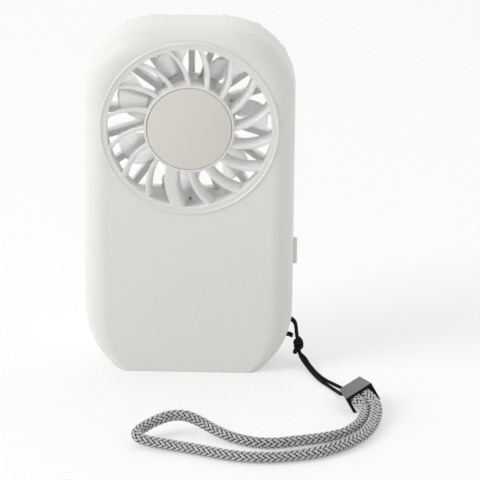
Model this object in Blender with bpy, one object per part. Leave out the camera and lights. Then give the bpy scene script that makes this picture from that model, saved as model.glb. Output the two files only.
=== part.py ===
# Pocket fan with a wrist lanyard, standing on its flat base.
#
# X runs to the right as seen from the front, the front face looks towards -Y, Z is up.
# The origin is on the base, in the middle of the width and of the depth. All sizes are in metres.

import math

import bmesh
import bpy
from mathutils import Matrix, Vector

# Casing
BODY_WIDTH = 0.0700
BODY_DEPTH = 0.0252
BODY_HEIGHT = 0.1205
UPPER_CORNER = 0.0242
LOWER_CORNER = 0.0270
LOWER_DROP = 0.0058
FRONT_FILLET = 0.0074
REAR_FILLET = 0.0074
COVER_DEPTH = 0.0056
WALL = 0.0018
FRONT_WALL = 0.0028
GAP = 0.0003
OVERRUN = 0.0020

# Tongue of the rear cover that locates in the front shell
LIP_DEPTH = 0.0015
LIP_WALL = 0.0010

# Fan opening and the floor under it
TOP_MARGIN = 0.0037
SIDE_MARGIN = 0.0048
RING_BAND = 0.0028
RING_WALL = 0.0012
RING_LENGTH = 0.0060
FLANGE_THICKNESS = 0.0018
LIP_RISE = 0.00035
LIP_WIDTH = 0.0007
DECK_THICKNESS = 0.0020
DECK_HOLE_RADIUS = 0.0006
DECK_HOLE_DEPTH = 0.0094

# Front grille
HUB_WALL = 0.0012
HUB_LENGTH = 0.0061
HUB_SEAT_WALL = 0.0008
HUB_PLATE = 0.0012
CAP_THICKNESS = 0.0012
VANE_COUNT = 16
VANE_WIDTH = 0.00135
VANE_LENGTH = 0.0054
VANE_SETBACK = 0.00018
VANE_SWEEP = 8.5
VANE_CURL = 6.0
VANE_TWIST = 3.4
VANE_FIRST = 22.5
LEAD_VANE = 11
LEAD_VANE_WIDTH = 0.0042
LEAD_CHANNEL = 0.0018

# Rear cover
REAR_BORDER = 0.0040
WINDOW_SILL = 0.0005
SPOKE_COUNT = 20
SPOKE_WIDTH = 0.0021
SPOKE_DEPTH = 0.0049
RIB_FILLET = 0.0058
RIB_RISE = 0.0003
REAR_HUB_RADIUS = 0.0120
REAR_HUB_WALL = 0.0016
REAR_HUB_PLATE = 0.0016
REAR_HUB_RISE = 0.0002

# Impeller and motor
TIP_CLEARANCE = 0.0015
IMPELLER_FRONT = 0.0067
IMPELLER_REAR_SHARE = 0.8155
IMPELLER_WALL = 0.0013
BLADE_COUNT = 7
BLADE_FIRST = 162.0
BLADE_ANGLE = 37.0
BLADE_SKEW = 7.0
BLADE_THICKNESS = 0.0012
BLADE_INSET = 0.0007
BLADE_OVERHANG = 0.0006
BLADE_FLATTEN_SHARE = 0.20
BLADE_EDGE_SHARE = 0.35
BLADE_CAMBER = 0.0009
SHAFT_RADIUS = 0.0010
BUSH_WALL = 0.0011
TUBE_WALL = 0.0008
BOSS_WALL = 0.0016
BOSS_LENGTH = 0.0016
CLIP_WALL = 0.0008
CLIP_THICKNESS = 0.0004
MOTOR_BOARD = 0.0008
MOTOR_BOARD_RADIUS = 0.0132
MOTOR_BOARD_CLEARANCE = 0.0007
STATOR_SHARE = 0.40
STATOR_TEETH = 6
TOOTH_WIDTH = 0.0020
STATOR_RIM = 0.0010
STATOR_CORE_WALL = 0.0013
STATOR_MARGIN = 0.0005
TOOTH_TIP_ANGLE = 44.0
COIL_THICKNESS = 0.0009
COIL_CLEARANCE = 0.0003
COIL_ROOM = 0.0004
MAGNET_WALL = 0.0012
MAGNET_INSET = 0.0006
YOKE_WALL = 0.0007
YOKE_INSET = 0.0013

# Power button and its switch
BUTTON_HEIGHT_SHARE = 0.7014
BUTTON_LENGTH = 0.0093
BUTTON_WIDTH = 0.0050
BUTTON_PROUD = 0.0014
BUTTON_TRAVEL = 0.0005
BUTTON_FLANGE = 0.0012
BUTTON_RIM = 0.0010
BUTTON_STEM_RADIUS = 0.0015
BUTTON_STEM = 0.0008
BUTTON_CROWN = 0.0007
SWITCH_LENGTH = 0.0040
SWITCH_HEIGHT = 0.0060
SWITCH_DEPTH = 0.0036
PLUNGER_RADIUS = 0.0012
PLUNGER_SHOWN = 0.0020
PLUNGER_HIDDEN = 0.0020

# Main board, charging socket and battery
BOARD_THICKNESS = 0.0012
BOARD_CLEARANCE = 0.0009
BOARD_BOTTOM_SHARE = 0.460
BOARD_TOP_SHARE = 0.785
BOARD_MARGIN = 0.0068
SOCKET_WIDTH = 0.0089
SOCKET_THICKNESS = 0.0032
SOCKET_LENGTH = 0.0073
SOCKET_SHEET = 0.0003
SOCKET_RECESS = 0.0008
TONGUE_WIDTH = 0.0067
TONGUE_THICKNESS = 0.0007
TONGUE_RECESS = 0.0009
CELL_SIDE_ROOM = 0.0022
CELL_TOP_ROOM = 0.0059
CELL_THICKNESS_SHARE = 0.466
CELL_EDGE = 0.0022
CELL_BASE = 0.0032
PAD_THICKNESS = 0.0008
PAD_MARGIN = 0.0060
CHIP_SIDE = 0.0050
CHIP_THICKNESS = 0.0010
CHIP_X = 0.0080
INDUCTOR_RADIUS = 0.0026
INDUCTOR_HEIGHT = 0.0026
INDUCTOR_X = 0.0090
LEAD_DIAMETER = 0.0010
LEAD_SPACING = 0.0034
BATTERY_LEAD_X = 0.0090

# Screws and their posts
CASE_SCREW_DROP = 0.0041
CASE_SCREW_LOWER = 0.0100
CASE_SCREW_UPPER_MARGIN = 0.0070
CASE_SCREW_LOWER_MARGIN = 0.0130
BOARD_SCREW_MARGIN = 0.0135
BOARD_SCREW_RISE = 0.0035
POST_RADIUS = 0.0028
BOARD_POST_RADIUS = 0.0023
CASE_POST_SETBACK = 0.0042
SCREW_RADIUS = 0.0010
SCREW_LENGTH = 0.0080
BOARD_SCREW_LENGTH = 0.0050
HEAD_RADIUS = 0.0019
HEAD_HEIGHT = 0.0011
HEAD_CROWN = 0.0004
COUNTERBORE_FLOOR = 0.0022

# Cord eyelet, low on the right side
EYELET_LOW = 0.0087
EYELET_BAR_LOW = 0.0105
EYELET_BAR_HIGH = 0.0142
EYELET_HIGH = 0.0160
EYELET_WIDTH = 0.0034
EYELET_Y = 0.0010
EYELET_POCKET = 0.0036
EYELET_BAR_INSET = 0.0040
EYELET_WALL = 0.0012

# Lanyard
CORD_DIAMETER = 0.0011
CORD_SPACING = 0.0014
KNOT_WIDTH = 0.0034
KNOT_BREADTH = 0.0047
KNOT_LENGTH = 0.0050
KNOT_TAIL = 0.0025
KNOT_TAIL_RADIUS = 0.0009
STRAP_DIAMETER = 0.0036
FINE_CORD = 0.0260
FINE_STEP_SHARE = 1.0
COARSE_STEP_SHARE = 2.4
STRAP_STEP_SHARE = 1.1
LEAD_STEP_SHARE = 2.2
CORD_SEAT_SHARE = 1.4
CORD_SPREAD_SHARE = 1.15
KNOT_WAIST_SHARE = 0.55
KNOT_END_SHARE = 0.93
KNOT_WOBBLE_SHARE = 0.05
CLAMP_LENGTH = 0.0100
CLAMP_REAR_WIDTH = 0.0080
CLAMP_FRONT_WIDTH = 0.0094
CLAMP_REAR_HEIGHT = 0.0022
CLAMP_FRONT_HEIGHT = 0.0063
CLAMP_WALL = 0.0005
CLAMP_GRIP = 0.0036

# Counts that set how finely curves are divided
CORNER_STEPS = 8
LOWER_STEPS = 6
FILLET_STEPS = 6
INNER_STEPS = 3
TURN_STEPS = 36
RING_STEPS = 48
SMALL_STEPS = 12
VANE_STATIONS = 5
BLADE_STATIONS = 3
BLADE_POINTS = 4
RIB_STEPS = 4
MOTOR_STEPS = 28

HALF_WIDTH = BODY_WIDTH / 2
FRONT_Y = -BODY_DEPTH / 2
REAR_Y = BODY_DEPTH / 2
PARTING_DEPTH = BODY_DEPTH - COVER_DEPTH
PARTING_Y = FRONT_Y + PARTING_DEPTH
COVER_Y = PARTING_Y + GAP
INNER_FRONT_Y = FRONT_Y + FRONT_WALL
INNER_REAR_Y = REAR_Y - WALL
COVER_WALL = WALL + GAP + LIP_WALL
RING_RADIUS = HALF_WIDTH - SIDE_MARGIN
RING_BORE = RING_RADIUS - RING_BAND
FAN_HEIGHT = BODY_HEIGHT - TOP_MARGIN - RING_RADIUS
HUB_RADIUS = MOTOR_BOARD_RADIUS + MOTOR_BOARD_CLEARANCE + HUB_WALL
IMPELLER_RADIUS = RING_BORE - TIP_CLEARANCE
DECK_TOP = FAN_HEIGHT - RING_BORE - GAP / 3
DECK_BOTTOM = DECK_TOP - DECK_THICKNESS
BUTTON_HEIGHT = DECK_BOTTOM * BUTTON_HEIGHT_SHARE
BOARD_BOTTOM = DECK_BOTTOM * BOARD_BOTTOM_SHARE
BOARD_TOP = DECK_BOTTOM * BOARD_TOP_SHARE
BOARD_HALF_WIDTH = HALF_WIDTH - BOARD_MARGIN
EYELET_BAR_X = HALF_WIDTH - EYELET_BAR_INSET
case_screw_x = HALF_WIDTH - CASE_SCREW_LOWER_MARGIN
pad_front = INNER_FRONT_Y + GAP
cell_front = pad_front + PAD_THICKNESS + GAP
cell_rear = cell_front + (INNER_REAR_Y - INNER_FRONT_Y) * CELL_THICKNESS_SHARE
cell_half = case_screw_x - POST_RADIUS - CELL_SIDE_ROOM
cell_bottom = CELL_BASE
cell_top = DECK_BOTTOM - CELL_TOP_ROOM
board_front_y = cell_rear + BOARD_CLEARANCE
board_rear_y = board_front_y + BOARD_THICKNESS
button_y = board_front_y - GAP - SWITCH_DEPTH / 2

for item in list(bpy.data.objects):
    bpy.data.objects.remove(item)


def material(name, colour, roughness, metallic=0.0, transmission=0.0):
    made = bpy.data.materials.new(name)
    made.use_nodes = True
    shader = made.node_tree.nodes["Principled BSDF"]
    shader.inputs["Base Color"].default_value = (*colour, 1.0)
    shader.inputs["Roughness"].default_value = roughness
    shader.inputs["Metallic"].default_value = metallic
    shader.inputs["Transmission Weight"].default_value = transmission
    made.diffuse_color = (*colour, 1.0)
    return made


def mesh_object(name, bm, skin, parent=None, location=(0, 0, 0), smooth=True):
    """Turn a bmesh into a named object, with its material and smooth shading."""
    bmesh.ops.recalc_face_normals(bm, faces=bm.faces)
    mesh = bpy.data.meshes.new(name)
    bm.to_mesh(mesh)
    bm.free()
    if smooth:
        mesh.shade_smooth()
        mesh.set_sharp_from_angle(angle=math.radians(35))
    made = bpy.data.objects.new(name, mesh)
    bpy.context.collection.objects.link(made)
    if skin is not None:
        mesh.materials.append(skin)
    made.parent = parent
    made.location = location
    return made


def empty(name, location):
    made = bpy.data.objects.new(name, None)
    bpy.context.collection.objects.link(made)
    made.location = location
    return made


def combine(target, other, operation):
    """Add a Boolean with another object, which then only serves as a tool."""
    step = target.modifiers.new(operation.lower() + "_" + other.name, "BOOLEAN")
    step.operation = operation
    step.solver = "EXACT"
    step.object = other
    other.hide_render = True
    other.display_type = "WIRE"


def skin_rings(bm, rings):
    """Bridge closed rings of equal count and close both ends with a flat face."""
    rows = [[bm.verts.new(point) for point in ring] for ring in rings]
    for first, second in zip(rows, rows[1:]):
        count = len(first)
        for i in range(count):
            j = (i + 1) % count
            bm.faces.new((first[i], first[j], second[j], second[i]))
    bm.faces.new(rows[0])
    bm.faces.new(list(reversed(rows[-1])))


def loft(name, rings, skin=None, **more):
    bm = bmesh.new()
    skin_rings(bm, rings)
    return mesh_object(name, bm, skin, **more)


def turned(name, profile, skin=None, steps=TURN_STEPS, parent=None, location=(0, 0, 0)):
    """Spin a closed profile of (radius, y) points about the local Y axis."""
    bm = bmesh.new()
    points = [bm.verts.new((radius, y, 0)) for radius, y in profile]
    edges = [bm.edges.new((a, b)) for a, b in zip(points, points[1:])]
    if min(radius for radius, y in profile) > 0:
        edges.append(bm.edges.new((points[-1], points[0])))
    bmesh.ops.spin(
        bm,
        geom=points + edges,
        cent=(0, 0, 0),
        axis=(0, 1, 0),
        angle=math.tau,
        steps=steps,
        use_merge=True,
    )
    bmesh.ops.remove_doubles(bm, verts=bm.verts, dist=CORD_DIAMETER / 1000)
    return mesh_object(name, bm, skin, parent=parent, location=location)


def prism(name, outline, low, high, skin=None, **more):
    """Extrude an outline of (x, z) points from the depth low to the depth high."""
    return loft(name, [[(x, y, z) for x, z in outline] for y in (low, high)], skin, **more)


def box(name, low, high, skin=None, **more):
    (x0, y0, z0), (x1, y1, z1) = low, high
    return prism(name, [(x0, z0), (x1, z0), (x1, z1), (x0, z1)], y0, y1, skin, **more)


def many(name, makers):
    """One tool mesh that holds several separate shapes, each given as its rings."""
    bm = bmesh.new()
    for rings in makers:
        skin_rings(bm, rings)
    return mesh_object(name, bm, None)


def disc(x, z, radius, y, steps=SMALL_STEPS):
    """A ring of points round (x, z) at the depth y."""
    turn = math.tau / steps
    return [
        (x + radius * math.cos(turn * i), y, z + radius * math.sin(turn * i))
        for i in range(steps)
    ]


def stadium(length, width, steps=SMALL_STEPS):
    """A slot outline with round ends, long along its second coordinate."""
    radius = width / 2
    reach = length / 2 - radius
    half = steps // 2
    points = []
    for side in (1, -1):
        for i in range(half + 1):
            angle = math.pi * i / half
            points.append((side * radius * math.cos(angle), side * (reach + radius * math.sin(angle))))
    return points


def polar(radius, degrees, y):
    angle = math.radians(degrees)
    return (radius * math.cos(angle), y, radius * math.sin(angle))


# The body's outline: upright sides, round upper corners and larger lower ones that the base cuts off.


def arc(cx, cz, rx, rz, start, end, steps):
    return [
        (
            cx + rx * math.cos(start + (end - start) * i / steps),
            cz + rz * math.sin(start + (end - start) * i / steps),
        )
        for i in range(steps + 1)
    ]


def body_outline(inset, lift=0.0):
    """The outline drawn in by inset at the sides and the top, with its floor at the height lift."""
    low_z = LOWER_CORNER - LOWER_DROP
    low_rz = LOWER_CORNER - lift
    low_rx = LOWER_CORNER - inset
    start = math.asin(max(-1.0, (lift - low_z) / low_rz))
    corner = UPPER_CORNER - inset
    top_x = HALF_WIDTH - UPPER_CORNER
    top_z = BODY_HEIGHT - UPPER_CORNER
    low_x = HALF_WIDTH - LOWER_CORNER
    quarter = math.pi / 2
    points = arc(low_x, low_z, low_rx, low_rz, start, 0, LOWER_STEPS)
    points += arc(top_x, top_z, corner, corner, 0, quarter, CORNER_STEPS)
    points += arc(-top_x, top_z, corner, corner, quarter, math.pi, CORNER_STEPS)
    points += arc(-low_x, low_z, low_rx, low_rz, math.pi, math.pi - start, LOWER_STEPS)
    return points


def upper_outline(inset, floor):
    """The part of the outline above a flat floor."""
    corner = UPPER_CORNER - inset
    top_x = HALF_WIDTH - UPPER_CORNER
    top_z = BODY_HEIGHT - UPPER_CORNER
    side = HALF_WIDTH - inset
    quarter = math.pi / 2
    points = [(side, floor)]
    points += arc(top_x, top_z, corner, corner, 0, quarter, CORNER_STEPS)
    points += arc(-top_x, top_z, corner, corner, quarter, math.pi, CORNER_STEPS)
    points.append((-side, floor))
    return points


def fillet_inset(depth, radius):
    """How far a quarter-round of this radius draws in the outline at this depth below the face."""
    if depth >= radius:
        return 0.0
    return radius - math.sqrt(radius * radius - (radius - depth) * (radius - depth))


def fillet_depths(radius, steps, limit):
    """Depths below the face where the rings of a quarter-round go, up to a limit."""
    depths = [radius * (1 - math.cos(math.pi / 2 * i / steps)) for i in range(steps + 1)]
    return [depth for depth in depths if depth < limit - GAP]


def ring_at(y, inset, lift=0.0):
    return [(x, y, z) for x, z in body_outline(inset, lift)]


# Materials

shell_skin = material("shell_plastic", (0.64, 0.64, 0.61), 0.42)
disc_skin = material("cap_plastic", (0.62, 0.60, 0.55), 0.45)
blade_skin = material("clear_white_plastic", (0.80, 0.81, 0.80), 0.20, transmission=0.25)
steel_skin = material("steel", (0.55, 0.55, 0.56), 0.30, 1.0)
brass_skin = material("brass", (0.75, 0.56, 0.25), 0.35, 1.0)
magnet_skin = material("magnet_black", (0.05, 0.05, 0.055), 0.55)
copper_skin = material("copper_wire", (0.72, 0.33, 0.15), 0.35, 1.0)
board_skin = material("green_board", (0.03, 0.20, 0.09), 0.50)
black_skin = material("black_plastic", (0.03, 0.03, 0.03), 0.50)
button_skin = material("button_plastic", (0.64, 0.64, 0.61), 0.40)
foil_skin = material("battery_foil", (0.70, 0.71, 0.72), 0.32, 0.8)
foam_skin = material("grey_foam", (0.25, 0.25, 0.25), 0.90)
red_skin = material("red_lead", (0.60, 0.03, 0.02), 0.45)
dark_skin = material("black_lead", (0.02, 0.02, 0.02), 0.45)
cord_skin = material("black_cord", (0.02, 0.02, 0.02), 0.75)
clamp_skin = material("clamp_metal", (0.30, 0.30, 0.30), 0.35, 1.0)
strap_skin = material("grey_braid", (0.36, 0.36, 0.36), 0.85)

fan = empty("fan_axis", (0, 0, FAN_HEIGHT))

vane_front = FRONT_Y + VANE_SETBACK
vane_rear = vane_front + VANE_LENGTH
ring_outer = RING_BORE + RING_WALL


def vane_bearing(number, radius, y):
    """The angle at which a vane's middle lies: it sweeps with the radius and leans with the depth."""
    t = (radius - HUB_RADIUS) / (RING_BORE - HUB_RADIUS)
    lean = VANE_TWIST * (y - vane_front) / VANE_LENGTH
    return math.radians(VANE_FIRST * number + VANE_SWEEP * t + VANE_CURL * t * t + lean)


# Front shell: a cup with its open side to the rear.

rear_start = BODY_DEPTH - REAR_FILLET
outer = [ring_at(FRONT_Y + depth, fillet_inset(depth, FRONT_FILLET))
         for depth in fillet_depths(FRONT_FILLET, FILLET_STEPS, rear_start)]
outer.append(ring_at(FRONT_Y + rear_start, 0.0))
parting_inset = fillet_inset(BODY_DEPTH - PARTING_DEPTH, REAR_FILLET)
outer.append(ring_at(PARTING_Y, parting_inset))
inner_fillet = FRONT_FILLET - WALL
inner = [ring_at(INNER_FRONT_Y + depth, WALL + fillet_inset(depth, inner_fillet), WALL)
         for depth in fillet_depths(inner_fillet, INNER_STEPS, PARTING_DEPTH)]
inner.append(ring_at(PARTING_Y, WALL + parting_inset, WALL))
front_shell = loft("front_shell", outer + list(reversed(inner)), shell_skin)


def deck_ring(y, half, floor, top):
    return [(-half, y, floor), (half, y, floor), (half, y, top), (-half, y, top)]


deck_depths = fillet_depths(FRONT_FILLET, FILLET_STEPS, PARTING_DEPTH)
deck_rings = [
    deck_ring(FRONT_Y + depth, HALF_WIDTH - WALL / 2 - fillet_inset(depth, FRONT_FILLET),
              DECK_BOTTOM, DECK_TOP)
    for depth in [FRONT_WALL / 2] + [depth for depth in deck_depths if depth > FRONT_WALL]
]
deck_rings.append(
    deck_ring(PARTING_Y - GAP / 3, HALF_WIDTH - WALL / 2 - parting_inset, DECK_BOTTOM, DECK_TOP)
)
deck = loft("deck_tool", deck_rings)
combine(front_shell, deck, "UNION")

upper_screw = (HALF_WIDTH - CASE_SCREW_UPPER_MARGIN, DECK_BOTTOM - CASE_SCREW_DROP)
lower_screw = (case_screw_x, CASE_SCREW_LOWER)
case_screws = [(side * x, z) for x, z in (upper_screw, lower_screw) for side in (1, -1)]
board_screw_x = HALF_WIDTH - BOARD_SCREW_MARGIN
board_screws = [(side * board_screw_x, BOARD_BOTTOM + BOARD_SCREW_RISE) for side in (1, -1)]
post_root = FRONT_Y + FRONT_WALL / 2
post_end = REAR_Y - CASE_POST_SETBACK - GAP
posts = [
    [disc(x, z, POST_RADIUS, y) for y in (post_root, post_end)] for x, z in case_screws
]
posts += [
    [disc(x, z, BOARD_POST_RADIUS, y) for y in (post_root, board_front_y - GAP)]
    for x, z in board_screws
]
combine(front_shell, many("posts_tool", posts), "UNION")

pocket_x = EYELET_BAR_X - EYELET_POCKET
eyelet_half = EYELET_WIDTH / 2 + GAP
pocket_low = EYELET_LOW - EYELET_WALL
pocket_high = EYELET_HIGH + EYELET_WALL
low_x = HALF_WIDTH - LOWER_CORNER
low_z = LOWER_CORNER - LOWER_DROP
eyelet_outer = [
    (low_x + (LOWER_CORNER - WALL / 2) * math.sqrt(1 - ((z - low_z) / LOWER_CORNER) ** 2), z)
    for z in (pocket_low, (pocket_low + pocket_high) / 2, pocket_high)
]
eyelet_block = prism(
    "eyelet_tool",
    [(pocket_x - EYELET_WALL, pocket_low)] + eyelet_outer + [(pocket_x - EYELET_WALL, pocket_high)],
    EYELET_Y - eyelet_half - EYELET_WALL,
    EYELET_Y + eyelet_half + EYELET_WALL,
)
combine(front_shell, eyelet_block, "UNION")

recess_floor = FRONT_Y - LIP_RISE + FLANGE_THICKNESS + GAP
hole_radius = RING_BORE + RING_WALL + GAP
ring_rear = FRONT_Y - LIP_RISE + RING_LENGTH
fan_hole = turned(
    "fan_hole_tool",
    [
        (0, FRONT_Y - OVERRUN),
        (RING_RADIUS + GAP, FRONT_Y - OVERRUN),
        (RING_RADIUS + GAP, recess_floor),
        (hole_radius, recess_floor),
        (hole_radius, ring_rear + GAP),
        (0, ring_rear + GAP),
    ],
    steps=RING_STEPS,
    parent=fan,
)
combine(front_shell, fan_hole, "DIFFERENCE")

lead_y = vane_rear - LEAD_CHANNEL / 2
lead_x = ring_outer * math.cos(vane_bearing(LEAD_VANE, ring_outer, lead_y))
deck_holes = []
for x, y, radius in (
    (lead_x, lead_y, LEAD_CHANNEL / 2),
    (0, FRONT_Y + DECK_HOLE_DEPTH, DECK_HOLE_RADIUS),
):
    turn = math.tau / SMALL_STEPS
    deck_holes.append([
        [(x + radius * math.cos(turn * i), y + radius * math.sin(turn * i), z) for i in range(SMALL_STEPS)]
        for z in (DECK_BOTTOM - OVERRUN / 2, DECK_TOP + OVERRUN / 2)
    ])
pilots = [
    [disc(x, z, SCREW_RADIUS + GAP, y) for y in (post_end - SCREW_LENGTH, post_end + OVERRUN)]
    for x, z in case_screws
]
pilots += [
    [disc(x, z, SCREW_RADIUS + GAP, y)
     for y in (board_front_y - BOARD_SCREW_LENGTH, board_front_y + OVERRUN)]
    for x, z in board_screws
]
button_slot = [
    [(x, button_y + y, BUTTON_HEIGHT + z)
     for y, z in stadium(BUTTON_LENGTH + 2 * GAP, BUTTON_WIDTH + 2 * GAP)]
    for x in (HALF_WIDTH - WALL - OVERRUN, HALF_WIDTH + OVERRUN)
]
socket_y = board_front_y - GAP - SOCKET_THICKNESS / 2
socket_slot = [
    [(-x, socket_y + y, BUTTON_HEIGHT + z)
     for y, z in stadium(SOCKET_WIDTH + 2 * GAP, SOCKET_THICKNESS + 2 * GAP)]
    for x in (HALF_WIDTH - WALL - OVERRUN, HALF_WIDTH + OVERRUN)
]
pocket_rings = [
    [(x, y, z)
     for x, z in (
         (pocket_x, EYELET_LOW), (EYELET_BAR_X, EYELET_LOW),
         (EYELET_BAR_X, EYELET_HIGH), (pocket_x, EYELET_HIGH))]
    for y in (EYELET_Y - EYELET_WIDTH / 2, EYELET_Y + EYELET_WIDTH / 2)
]
slot_rings = [
    [
        [(x, y, z)
         for x, z in (
             (EYELET_BAR_X - GAP, low), (HALF_WIDTH + OVERRUN, low),
             (HALF_WIDTH + OVERRUN, high), (EYELET_BAR_X - GAP, high))]
        for y in (EYELET_Y - EYELET_WIDTH / 2, EYELET_Y + EYELET_WIDTH / 2)
    ]
    for low, high in ((EYELET_LOW, EYELET_BAR_LOW), (EYELET_BAR_HIGH, EYELET_HIGH))
]
combine(front_shell, many("holes_tool", deck_holes + pilots + [button_slot, socket_slot]), "DIFFERENCE")
combine(front_shell, many("pocket_tool", [pocket_rings]), "DIFFERENCE")
combine(front_shell, many("slots_tool", slot_rings), "DIFFERENCE")


# Rear cover: a shallower cup, with a lip that locates in the shell and a window behind the fan.

cover_depth = REAR_Y - COVER_Y
outer = [ring_at(REAR_Y - depth, fillet_inset(depth, REAR_FILLET))
         for depth in fillet_depths(REAR_FILLET, FILLET_STEPS, cover_depth)]
cover_inset = fillet_inset(cover_depth, REAR_FILLET)
outer.append(ring_at(COVER_Y, cover_inset))
lip_inset = WALL + GAP + parting_inset
lip = [
    ring_at(COVER_Y, lip_inset, WALL + GAP),
    ring_at(COVER_Y - LIP_DEPTH, lip_inset, WALL + GAP),
    ring_at(COVER_Y - LIP_DEPTH, lip_inset + LIP_WALL, COVER_WALL),
]
inner_fillet = REAR_FILLET - COVER_WALL
inner = [ring_at(INNER_REAR_Y - depth,
                 COVER_WALL + parting_inset + fillet_inset(depth, inner_fillet), COVER_WALL)
         for depth in fillet_depths(inner_fillet, INNER_STEPS, INNER_REAR_Y - COVER_Y)]
rear_cover = loft("rear_cover", outer + lip + list(reversed(inner)), shell_skin)

lip_notch = box(
    "lip_notch_tool",
    (-HALF_WIDTH + WALL + parting_inset, COVER_Y - LIP_DEPTH - OVERRUN, DECK_BOTTOM - GAP),
    (HALF_WIDTH - WALL - parting_inset, COVER_Y + GAP / 2, DECK_TOP + GAP),
)
combine(rear_cover, lip_notch, "DIFFERENCE")

cover_deck_depths = [WALL / 2] + [
    depth for depth in fillet_depths(REAR_FILLET, FILLET_STEPS, cover_depth) if depth > WALL
]
cover_deck = loft("cover_deck_tool", [
    deck_ring(REAR_Y - depth, HALF_WIDTH - WALL / 2 - fillet_inset(depth, REAR_FILLET),
              DECK_BOTTOM, DECK_TOP)
    for depth in cover_deck_depths
] + [deck_ring(COVER_Y + GAP / 3, HALF_WIDTH - WALL / 2 - cover_inset, DECK_BOTTOM, DECK_TOP)])
combine(rear_cover, cover_deck, "UNION")

counterbore_y = REAR_Y - COUNTERBORE_FLOOR
cover_posts = [
    [disc(x, z, POST_RADIUS, y) for y in (post_end + GAP, REAR_Y - WALL / 2)] for x, z in case_screws
]
combine(rear_cover, many("cover_posts_tool", cover_posts), "UNION")

window = prism(
    "window_tool",
    upper_outline(REAR_BORDER, DECK_TOP + WINDOW_SILL),
    INNER_REAR_Y - OVERRUN / 2,
    REAR_Y + OVERRUN,
)
combine(rear_cover, window, "DIFFERENCE")

spoke_front = REAR_Y + RIB_RISE - SPOKE_DEPTH
slabs = []
for k in range(SPOKE_COUNT):
    along = Matrix.Rotation(-math.radians(90 + 360 * k / SPOKE_COUNT), 4, "Y")
    half = SPOKE_WIDTH / 2
    corners = ((REAR_HUB_RADIUS - REAR_HUB_WALL / 2, -half), (BODY_HEIGHT / 2, -half),
               (BODY_HEIGHT / 2, half), (REAR_HUB_RADIUS - REAR_HUB_WALL / 2, half))
    slabs.append([
        [tuple(along @ Vector((r, y, w)) + Vector((0, 0, FAN_HEIGHT))) for r, w in corners]
        for y in (spoke_front, REAR_Y + OVERRUN)
    ])
spokes = many("spokes_tool", slabs)
rib_end = REAR_Y + RIB_RISE
rib_rings = [
    [(x, rib_end - depth, z)
     for x, z in upper_outline(fillet_inset(depth, RIB_FILLET), DECK_TOP - DECK_THICKNESS / 2)]
    for depth in fillet_depths(RIB_FILLET, RIB_STEPS, SPOKE_DEPTH)
]
rib_rings.append([
    (x, spoke_front, z)
    for x, z in upper_outline(fillet_inset(SPOKE_DEPTH, RIB_FILLET), DECK_TOP - DECK_THICKNESS / 2)
])
rib_body = loft("rib_body_tool", rib_rings)
combine(spokes, rib_body, "INTERSECT")
combine(rear_cover, spokes, "UNION")

hub_rear = rib_end + REAR_HUB_RISE
hub_front = spoke_front - REAR_HUB_RISE
rear_hub = turned(
    "rear_hub_tool",
    [
        (0, hub_rear - REAR_HUB_PLATE),
        (REAR_HUB_RADIUS - REAR_HUB_WALL, hub_rear - REAR_HUB_PLATE),
        (REAR_HUB_RADIUS - REAR_HUB_WALL, hub_front),
        (REAR_HUB_RADIUS, hub_front),
        (REAR_HUB_RADIUS, hub_rear),
        (0, hub_rear),
    ],
    parent=fan,
)
combine(rear_cover, rear_hub, "UNION")

sinks = []
for x, z in case_screws:
    sinks.append([disc(x, z, SCREW_RADIUS + GAP, y) for y in (post_end - OVERRUN / 2, REAR_Y)])
combine(rear_cover, many("clearance_tool", sinks), "DIFFERENCE")
sinks = []
for x, z in case_screws:
    sinks.append([disc(x, z, HEAD_RADIUS + GAP, y) for y in (counterbore_y, REAR_Y + OVERRUN)])
combine(rear_cover, many("counterbore_tool", sinks), "DIFFERENCE")


# Front grille: outer ring, hub cup and swept vanes, moulded as one piece.

lip_y = FRONT_Y - LIP_RISE
front_grille = turned(
    "front_grille",
    [
        (RING_BORE, FRONT_Y),
        (RING_RADIUS - LIP_WIDTH - LIP_RISE / 2, FRONT_Y),
        (RING_RADIUS - LIP_WIDTH, lip_y),
        (RING_RADIUS - LIP_RISE / 2, lip_y),
        (RING_RADIUS, lip_y + LIP_RISE / 2),
        (RING_RADIUS, lip_y + FLANGE_THICKNESS),
        (ring_outer, lip_y + FLANGE_THICKNESS),
        (ring_outer, ring_rear),
        (RING_BORE, ring_rear),
    ],
    shell_skin,
    steps=RING_STEPS,
    parent=fan,
)

cap_bore = HUB_RADIUS - HUB_SEAT_WALL
plate_front = FRONT_Y + CAP_THICKNESS + GAP
plate_rear = plate_front + HUB_PLATE
bush_radius = SHAFT_RADIUS + GAP + BUSH_WALL
tube_bore = bush_radius + GAP
tube_radius = tube_bore + TUBE_WALL
hub_front = FRONT_Y - VANE_SETBACK / 2
grille_hub = turned(
    "grille_hub_tool",
    [
        (cap_bore, hub_front),
        (HUB_RADIUS, hub_front),
        (HUB_RADIUS, FRONT_Y + HUB_LENGTH),
        (HUB_RADIUS - HUB_WALL, FRONT_Y + HUB_LENGTH),
        (HUB_RADIUS - HUB_WALL, plate_rear),
        (tube_radius + GAP, plate_rear),
        (tube_radius + GAP, plate_front),
        (cap_bore, plate_front),
    ],
    parent=fan,
)


def vane_rings(number, width, start, end, front, rear):
    """Cross-sections of one swept vane, from the hub out to the ring."""
    rings = []
    for i in range(VANE_STATIONS + 1):
        radius = start + (end - start) * i / VANE_STATIONS
        ring = []
        for y, side in ((front, -1), (front, 1), (rear, 1), (rear, -1)):
            bearing = vane_bearing(number, radius, y)
            half = side * width / 2
            ring.append((
                radius * math.cos(bearing) - half * math.sin(bearing),
                y,
                radius * math.sin(bearing) + half * math.cos(bearing),
            ))
        rings.append(ring)
    return rings


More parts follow.
